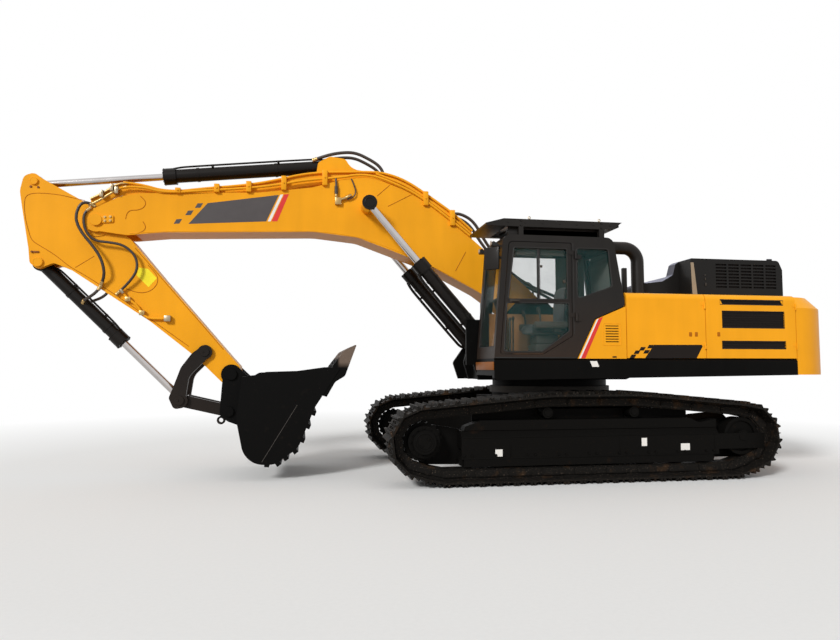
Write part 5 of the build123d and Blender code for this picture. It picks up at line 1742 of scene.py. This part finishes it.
@dataclass
class Cylinder:
    """Gland bolts, bands, feed tube and wiper of one cylinder; gland and collar in metres."""

    name: str
    base: Pair
    tip: Pair
    y: float
    radius: float
    gland: float
    body: str
    rod_radius: float
    tube_angle: float
    tube_radius: float = 0.013
    collar: float = 0.022
    bolt_count: int = 10
    bolt_radius: float = 0.009
    bolt_inset: float = 0.014
    sunk: float = 0.004  # how far the bands reach into the barrel's wall
    clip_shares: Pair = (0.34, 0.72)

    def build(self) -> None:
        """Builds the cylinder's pieces."""
        start, tip = (Vector(place) for place in across((self.base, self.tip), self.y))
        run = (tip - start).normalized()
        normal, side = Vector((run.z, 0, -run.x)), Vector(OUT)
        full = self.radius + self.collar
        end = start + run * self.gland
        bolts = Piece(f"{self.name}_gland_bolts")
        for a in turns(self.bolt_count):
            out = normal * math.cos(a) + side * math.sin(a)
            bolts.bolt(end + out * (full - self.bolt_inset), run, self.bolt_radius)
        bolts.done(Finish.CYLINDER, self.body, "dark_paint")
        bands = Piece(f"{self.name}_bands")
        for along, back, ahead, outer in (
            (self.gland, 0.01, 0.001, full + 0.003),
            (self.gland - 0.15, 0.01, 0.001, full + 0.003),
            (self.gland * 0.357, 0.018, 0.018, self.radius + 0.006),
            (self.gland * 0.8075, 0.018, 0.018, self.radius + 0.006),
        ):
            spot = start + run * along
            bands.sleeve(spot - run * back, spot + run * ahead, self.radius - self.sunk, outer)
        bands.done(Finish.CYLINDER, self.body, "dark_paint")
        lift = normal * math.cos(self.tube_angle) + side * math.sin(self.tube_angle)
        stand = self.radius + self.tube_radius + 0.006
        points = [
            start + run * along + lift * height
            for along, height in (
                (0.16, self.radius - 0.01), (0.16, stand), (0.3, stand + 0.012),
                (self.gland - 0.36, stand + 0.012), (self.gland - 0.2, stand + 0.006),
                (self.gland - 0.13, full - 0.01),
            )
        ]
        feed = Piece(f"{self.name}_feed_tube").tube(smooth_path(points), self.tube_radius)
        for share in self.clip_shares:
            spot = start + run * (self.gland * share) + lift * (self.radius + 0.018)
            feed.bar(spot - run * 0.016, spot + run * 0.016, 0.026, 16)
        feed.done(Finish.CYLINDER, self.body, "dark_paint")
        wiper = Piece(f"{self.name}_wiper").bar(end, end + run * 0.012, self.rod_radius + 0.016, 32)
        wiper.done(Finish.RUBBER, self.body)


def cylinders() -> Iterable[Cylinder]:
    """The machine's cylinders.

    Returns:
        Each cylinder in turn.
    """
    for way, tag in ((1, "left"), (-1, "right")):
        yield Cylinder(f"boom_cylinder_{tag}", (0.984, 1.652), (2.674, 3.596), way * 0.485,
                       0.088, 1.56, "boom_barrels", 0.05, 0.0, 0.02)
    yield Cylinder("arm_cylinder", (3.1, 4.23), (6.95, 3.79), 0.0,
                   0.09, 2.31, "arm_barrel", 0.046, math.radians(150))
    yield Cylinder("bucket_cylinder", (6.865, 2.745), (5.09, 0.977), 0.0,
                   0.082, 1.44, "bucket_barrel", 0.048, math.radians(20))


# ---------------------------------------------------------------- hoses


@dataclass
class Hose:
    """A flexible hose across a joint, from one fitting to another."""

    name: str
    route: Sequence[Point]
    radius: float
    first: str
    second: str
    start: Point
    end: Point
    crimp: tuple = (  # from, to, share of the hose's radius, sides
        (-0.006, 0.016, 1.5, 6), (0.016, 0.066, 1.25, 16),
    )

    def build(self) -> None:
        """Builds the hose and its two crimped ends."""
        path = smooth_path(self.route)
        hose = Piece(self.name).tube(path, self.radius, 12)
        hose = hose.done(Finish.HOSE, self.first, ride=False)
        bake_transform(hose)
        for tag, body, a, b in (("start", self.first, path[0], path[2]),
                                ("end", self.second, path[-1], path[-3])):
            spot, run = Vector(a), (Vector(b) - Vector(a)).normalized()
            crimp = Piece(f"{self.name}_{tag}_fitting")
            for back, ahead, share, sides in self.crimp:
                crimp.bar(spot + run * back, spot + run * ahead, self.radius * share, sides)
            crimp.done(Finish.BRASS, body)
        2 * self.radius


@dataclass
class Hoses:
    """Every hose that crosses a joint."""

    near: tuple = (
        (6.195, 0.235, 3.48), (6.262, 0.28, 3.522), (6.35, 0.3, 3.495),
        (6.398, 0.3, 3.356), (6.387, 0.3, 3.241), (6.306, 0.3, 3.096),
        (6.196, 0.3, 2.968), (6.084, 0.3, 2.807), (6.04, 0.29, 2.644),
        (6.055, 0.25, 2.54), (6.095, 0.207, 2.455),
    )
    port: tuple = (
        (6.095, 0.207, 2.455), (6.13, 0.205, 2.395), (6.195, 0.19, 2.335),
        (6.27, 0.15, 2.295), (6.325, 0.11, 2.265), (6.345, 0.07, 2.24),
    )
    second: tuple = (
        (6.238, 0.25, 3.452), (6.296, 0.262, 3.41), (6.322, 0.262, 3.299),
        (6.286, 0.262, 3.135), (6.175, 0.262, 3.023), (6.006, 0.262, 3.012),
        (5.835, 0.262, 2.985), (5.708, 0.262, 2.889), (5.65, 0.262, 2.774),
        (5.654, 0.262, 2.641), (5.729, 0.25, 2.524), (5.82, 0.225, 2.425),
        (5.905, 0.205, 2.345),
    )
    crown: tuple = (
        (2.436, 0.12, 4.0), (2.43, 0.12, 4.12), (2.5, 0.12, 4.24),
        (2.656, 0.12, 4.33), (2.825, 0.12, 4.402), (2.992, 0.12, 4.403),
        (3.236, 0.105, 4.354), (3.42, 0.07, 4.28),
    )
    foot: tuple = (
        (1.545, 0.12, 3.54), (1.44, 0.12, 3.6), (1.3, 0.12, 3.59),
        (1.13, 0.12, 3.49), (0.98, 0.1, 3.24), (0.8, 0.07, 3.0),
        (0.56, 0.06, 2.76), (0.28, 0.07, 2.58), (0.02, 0.1, 2.48),
        (-0.18, 0.14, 2.38), (-0.28, 0.19, 2.23), (-0.24, 0.262, 2.005),
    )

    def build(self) -> None:
        """Builds the hoses on both sides."""
        rows = (
            ("bucket", self.near, 0.019, "boom", "arm", (6.3, 0.3, 3.45), (6.15, 0.3, 2.92)),
            ("port", self.port, 0.019, "arm", "bucket_barrel", (6.11, 0.21, 2.44),
             (6.33, 0.11, 2.26)),
            ("arm", self.second, 0.017, "boom", "arm", (6.29, 0.26, 3.41), (6.14, 0.26, 3.02)),
            ("crown", self.crown, 0.022, "boom", "arm_barrel", (2.5, 0.12, 4.24),
             (3.2, 0.11, 4.36)),
            ("foot", self.foot, 0.022, "boom", "upper", (1.1, 0.12, 3.42), (-0.05, 0.12, 2.46)),
        )
        for way, tag in ((1, "left"), (-1, "right")):
            for name, route, radius, first, second, *ends in rows:
                route, (start, end) = (
                    [(x, way * y, z) for x, y, z in points] for points in (route, ends)
                )
                Hose(f"hose_{name}_{tag}", route, radius, first, second, start, end).build()


# ---------------------------------------------------------------- bucket


@dataclass
class BucketTrim:
    """Pin caps and weld lines of the bucket."""

    side_y: float = 0.74
    hinge_y: float = 0.245

    def build(self) -> None:
        """Builds the bucket's pieces."""
        seam = Piece("bucket_side_seam")
        seam.tube(across([(4.012, 0.235), (3.588, 0.934)], self.side_y), 0.004, 6)
        seam.both_sides().done(Finish.CAST, "bucket")
        pins = Piece("bucket_pin_caps")
        for x, z, radius in ((4.45, 1.315, 0.075), (4.47, 0.83, 0.065)):
            pins.pin(x, z, self.hinge_y, self.hinge_y + 0.017, radius, 28)
        pins.both_sides().done(Finish.BUCKET, "bucket", "dark_paint")


# ---------------------------------------------------------------- undercarriage


@dataclass
class Undercarriage:
    """Chain links, shoe bolts, hub covers, blank plates and bolts of the undercarriage."""

    gauge: float = 2.6
    shoe_count: int = 50
    belt: tuple = (
        # x, z, reach to the grouser tips
        (2.1, 0.52, 0.45), (0.53, 0.845, 0.265), (-0.62, 0.845, 0.265),
        (-2.1, 0.52, 0.45), (-1.88, 0.29, 0.29), (1.88, 0.29, 0.29),
    )
    pin_depth: float = 0.125
    link_reach: float = 0.04  # past the pins at both ends
    link_top: float = 0.03
    link_foot: float = 0.05
    link_round: float = 0.028
    link_y: float = 0.1  # from the chain's middle
    link_thick: Pair = (0.02, 0.032)  # every other link stands further out
    boss_radius: float = 0.024
    boss_rise: float = 0.006
    bolt_shares: Pair = (0.32, 0.68)  # along a link
    bolt_rise: float = 0.089
    bolt_y: float = 0.075
    bolt_radius: float = 0.014
    hub: Pair = (2.1, 0.52)
    hub_bolts: float = 0.165  # radius of the bolt circle
    cover_ys: Pair = (1.1, 1.115)
    label_y: float = 1.4405

    def pins(self) -> list[Pair]:
        """The chain's pins, evenly spaced round the belt, as (x, z).

        Returns:
            The pins in order.
        """
        runs, pieces = [], []
        belt = self.belt
        for (x0, z0, r0), (x1, z1, r1) in zip(belt, belt[1:] + belt[:1]):
            length = math.hypot(x1 - x0, z1 - z0)
            lean = math.atan2(z1 - z0, x1 - x0) - math.acos((r0 - r1) / length)
            runs.append([
                (x + math.cos(lean) * (r - self.pin_depth),
                 z + math.sin(lean) * (r - self.pin_depth))
                for x, z, r in ((x0, z0, r0), (x1, z1, r1))
            ])
        for number, (start, end) in enumerate(runs):
            pieces.append((math.dist(start, end), start, end, None))
            x, z, reach = belt[(number + 1) % len(belt)]
            follow = runs[(number + 1) % len(runs)][0]
            first = math.atan2(end[1] - z, end[0] - x)
            turn = (math.atan2(follow[1] - z, follow[0] - x) - first) % FULL_TURN
            pieces.append(((reach - self.pin_depth) * turn, (x, z), first, turn))
        total = sum(piece[0] for piece in pieces)
        places = []
        for number in range(self.shoe_count):
            left = total * number / self.shoe_count
            for length, start, end, turn in pieces:
                if left <= length:
                    break
                left -= length
            share = left / length
            if turn is None:
                places.append(tuple(a + (b - a) * share for a, b in zip(start, end)))
            else:
                radius, angle = length / turn, end + turn * share
                places.append((start[0] + radius * math.cos(angle),
                               start[1] + radius * math.sin(angle)))
        return places

    def chains(self) -> None:
        """Link plates with their pin bosses, and the bolts of every shoe."""
        places = [Vector(place) for place in across(self.pins(), 0)]
        for way, tag in ((1, "left"), (-1, "right")):
            links, bolts = Piece(f"chain_links_{tag}"), Piece(f"shoe_bolts_{tag}")
            middle = way * self.gauge / 2
            for number, (a, b) in enumerate(zip(places, places[1:] + places[:1])):
                run = (b - a).normalized()
                out = Vector((run.z, 0, -run.x))
                reach, top, foot = run * self.link_reach, out * self.link_top, out * self.link_foot
                corners = [a - reach + top, b + reach + top, b + reach - foot, a - reach - foot]
                outline = rounded([(p.x, p.z, self.link_round) for p in corners], 3)
                for side in (1, -1):
                    y = middle + side * self.link_y
                    low, high = sorted((y, y + side * self.link_thick[number % 2]))
                    links.slab(outline, low, high, 0)
                    end = high + self.boss_rise if side > 0 else high
                    links.bar((a.x, low, a.z), (a.x, end, a.z), self.boss_radius, 12, bevel=0)
                for side in (1, -1):
                    for share in self.bolt_shares:
                        spot = a + (b - a) * share + out * self.bolt_rise
                        place = (spot.x, middle + side * self.bolt_y, spot.z)
                        bolts.bolt(place, out, self.bolt_radius)
            links.done(Finish.TRACK, "undercarriage", "track_steel")
            bolts.done(Finish.TRACK, "undercarriage", "track_steel")

    def frames(self) -> None:
        """Bolts, covers and blank plates on the side frames."""
        cover = Piece("idler_end_covers")
        cover.slab([(-1.4, 0.6), (-1.4, 0.74), (-1.52, 0.79), (-1.75, 0.81), (-2.02, 0.8),
                    (-2.1, 0.72), (-2.04, 0.62), (-1.7, 0.58)], *self.cover_ys, 0.003)
        cover.slab([(-1.58, 0.23), (-1.58, 0.36), (-2.0, 0.4), (-2.18, 0.37), (-2.02, 0.27)],
                   *self.cover_ys, 0.003)
        cover.both_sides().done(Finish.RUST, "undercarriage")
        plates = Piece("frame_labels")
        for x, z, w, h in ((1.176, 0.372, 0.045, 0.042), (-0.719, 0.47, 0.036, 0.05),
                           (-1.279, 0.4, 0.062, 0.042)):
            plates.film(oblong(x - w, x + w, z - h, z + h), self.label_y, 0.0005)
        plates.done(Finish.WHITE, "undercarriage")
        x, z = self.hub
        hub = Piece("final_drive_covers")
        rim = [(x + self.hub_bolts * math.cos(a), z + self.hub_bolts * math.sin(a))
               for a in turns(12)]
        hub.bolts(rim, 1.46, 0.013)
        hub.ring((x, 1.52, z), OUT, 0.105, 0.006)
        hub.pin(x, z, 1.52, 1.526, 0.08, 32)
        hub.bolts([(x - 0.04, z + 0.04), (x + 0.04, z - 0.04)], 1.526, 0.015)
        rollers = [-1.62 + 0.3975 * k for k in range(9)]
        hub.bolts([(x + dx, 0.345) for x in rollers for dx in (-0.05, 0.05)], 1.44,
                  self.bolt_radius)
        for x in (-0.62, 0.53):
            hub.pin(x, 0.845, 1.388, 1.4, 0.045, 24)
        hub.pin(-2.1, 0.52, 1.435, 1.447, 0.06, 28)
        hub.both_sides().done(Finish.UNDER, "undercarriage", "dark_paint")
        rib = Piece("frame_ledges")
        for z in (0.553, 0.3):
            rib.box((-1.74, 1.438, z), (1.62, 1.446, z + 0.012))
        for x in (-1.7, -0.4, 1.02):
            rib.box((x, 1.438, 0.312), (x + 0.012, 1.444, 0.553), 0.002)
        rib.both_sides().done(Finish.UNDER, "undercarriage", "dark_paint")

    def build(self) -> None:
        """Builds the undercarriage's pieces."""
        self.chains()
        self.frames()


# ---------------------------------------------------------------- rear and right side


@dataclass
class FarSides:
    """Fittings on the counterweight, the tanks, the tool box and the walkways."""

    right_y: float = -1.48
    tread_pitch: float = 0.06
    exhaust: Pair = (-1.43, -0.76)

    def rear(self) -> None:
        """Lifting eyes, reflectors and joint line of the counterweight."""
        eyes = Piece("counterweight_eyes")
        eye = [(-3.25, 2.28), (-3.25, 2.338), (-3.15, 2.345), (-3.05, 2.345), (-2.98, 2.34),
               (-2.98, 2.3)]
        eyes.run(eye, -0.95, 0.018).run(eye, 0.95, 0.018)
        eyes.done(Finish.BODY, "upper", "body_paint")
        lamps = Piece("rear_reflectors")
        for y in (-0.8, 0.8):
            lamps.box((-3.548, y - 0.09, 1.6), (-3.5495, y + 0.09, 1.66), 0)
        lamps.done(Finish.RED, "upper", "lamp_trim")
        line = Piece("counterweight_joint")
        line.box((-3.5495, -0.93, 1.478), (-3.545, 0.93, 1.49), 0.001)
        line.done(Finish.DARK, "upper")

    def right(self) -> None:
        """Caps, treads, latch and sight glass on the right, and the exhaust's tip."""
        caps = Piece("tank_caps")
        for x, y, z in ((0.05, -1.1, 2.355), (-0.8, -1.1, 2.355)):
            caps.bar((x, y, z), (x, y, z + 0.035), 0.06, 32)
            caps.bar((x, y, z + 0.035), (x, y, z + 0.06), 0.045, 12)
        caps.done(Finish.BLACK, "upper", "dark_paint")
        tread, pitch = Piece("walkway_treads"), self.tread_pitch
        for x0, x1, y0, y1, z in (
            (0.42, 0.64, -1.4, -0.78, 2.15), (-0.32, 0.33, -1.42, -1.22, 2.355),
            (-0.32, 0.33, -0.98, -0.78, 2.355), (-1.16, -0.42, -0.95, -0.78, 2.355),
        ):
            tread.box((x0, y0, z), (x1, y1, z + 0.004), 0.001)
            for k in range(int((x1 - x0) / pitch)):
                for m in range(int((y1 - y0) / pitch)):
                    x, y = x0 + pitch / 2 + pitch * k, y0 + pitch / 2 + pitch * m
                    tread.bar((x, y, z + 0.003), (x, y, z + 0.008), 0.012, 8, 0.009, bevel=0)
        tread.done(Finish.BLACK, "upper", "dark_paint")
        trim, y = Piece("right_fittings"), self.right_y
        trim.box((0.5, y - 0.006, 1.98), (0.62, y + 0.001, 2.04), 0.003)
        trim.pin(-0.55, 1.75, y - 0.004, y + 0.002, 0.03, 24)
        trim.box((-0.57, y - 0.006, 1.86), (-0.53, y + 0.001, 2.06), 0.004)
        trim.box((0.372, y - 0.001, 1.53), (0.378, y + 0.004, 2.14), 0.001)
        trim.done(Finish.RUBBER, "upper")
        tip = Piece("exhaust_tip").ring((*self.exhaust, 3.0), UP, 0.066, 0.006)
        for z in (2.44, 2.6):
            tip.bar((*self.exhaust, z), (*self.exhaust, z + 0.012), 0.113, 32)
        tip.done(Finish.BLACK, "upper", "dark_paint")

    def build(self) -> None:
        """Builds the far sides' pieces."""
        self.rear()
        self.right()


def main() -> None:
    """Builds the studio and every sub-assembly."""
    logging.basicConfig(level=logging.INFO, format="%(message)s")
    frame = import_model()
    cad_box = [list(corner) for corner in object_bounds()]
    studio = Studio()
    studio.camera()
    Hoses().build()
    studio.build()
    CarriedParts().build(frame["nodes"])
    for part in (Cab(), OperatorSeat(), House(), HoodTrim(), BoomTrim(), ArmTrim(),
                 BucketTrim(), Undercarriage(), FarSides(), *cylinders()):
        part.build()
    visual_box = [list(corner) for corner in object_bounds()]
    for name, box in (("CAD", cad_box), ("visual", visual_box)):
        log.info("%s box %s", name, [[round(v, 3) for v in corner] for corner in box])


if __name__ == "__main__":
    main()
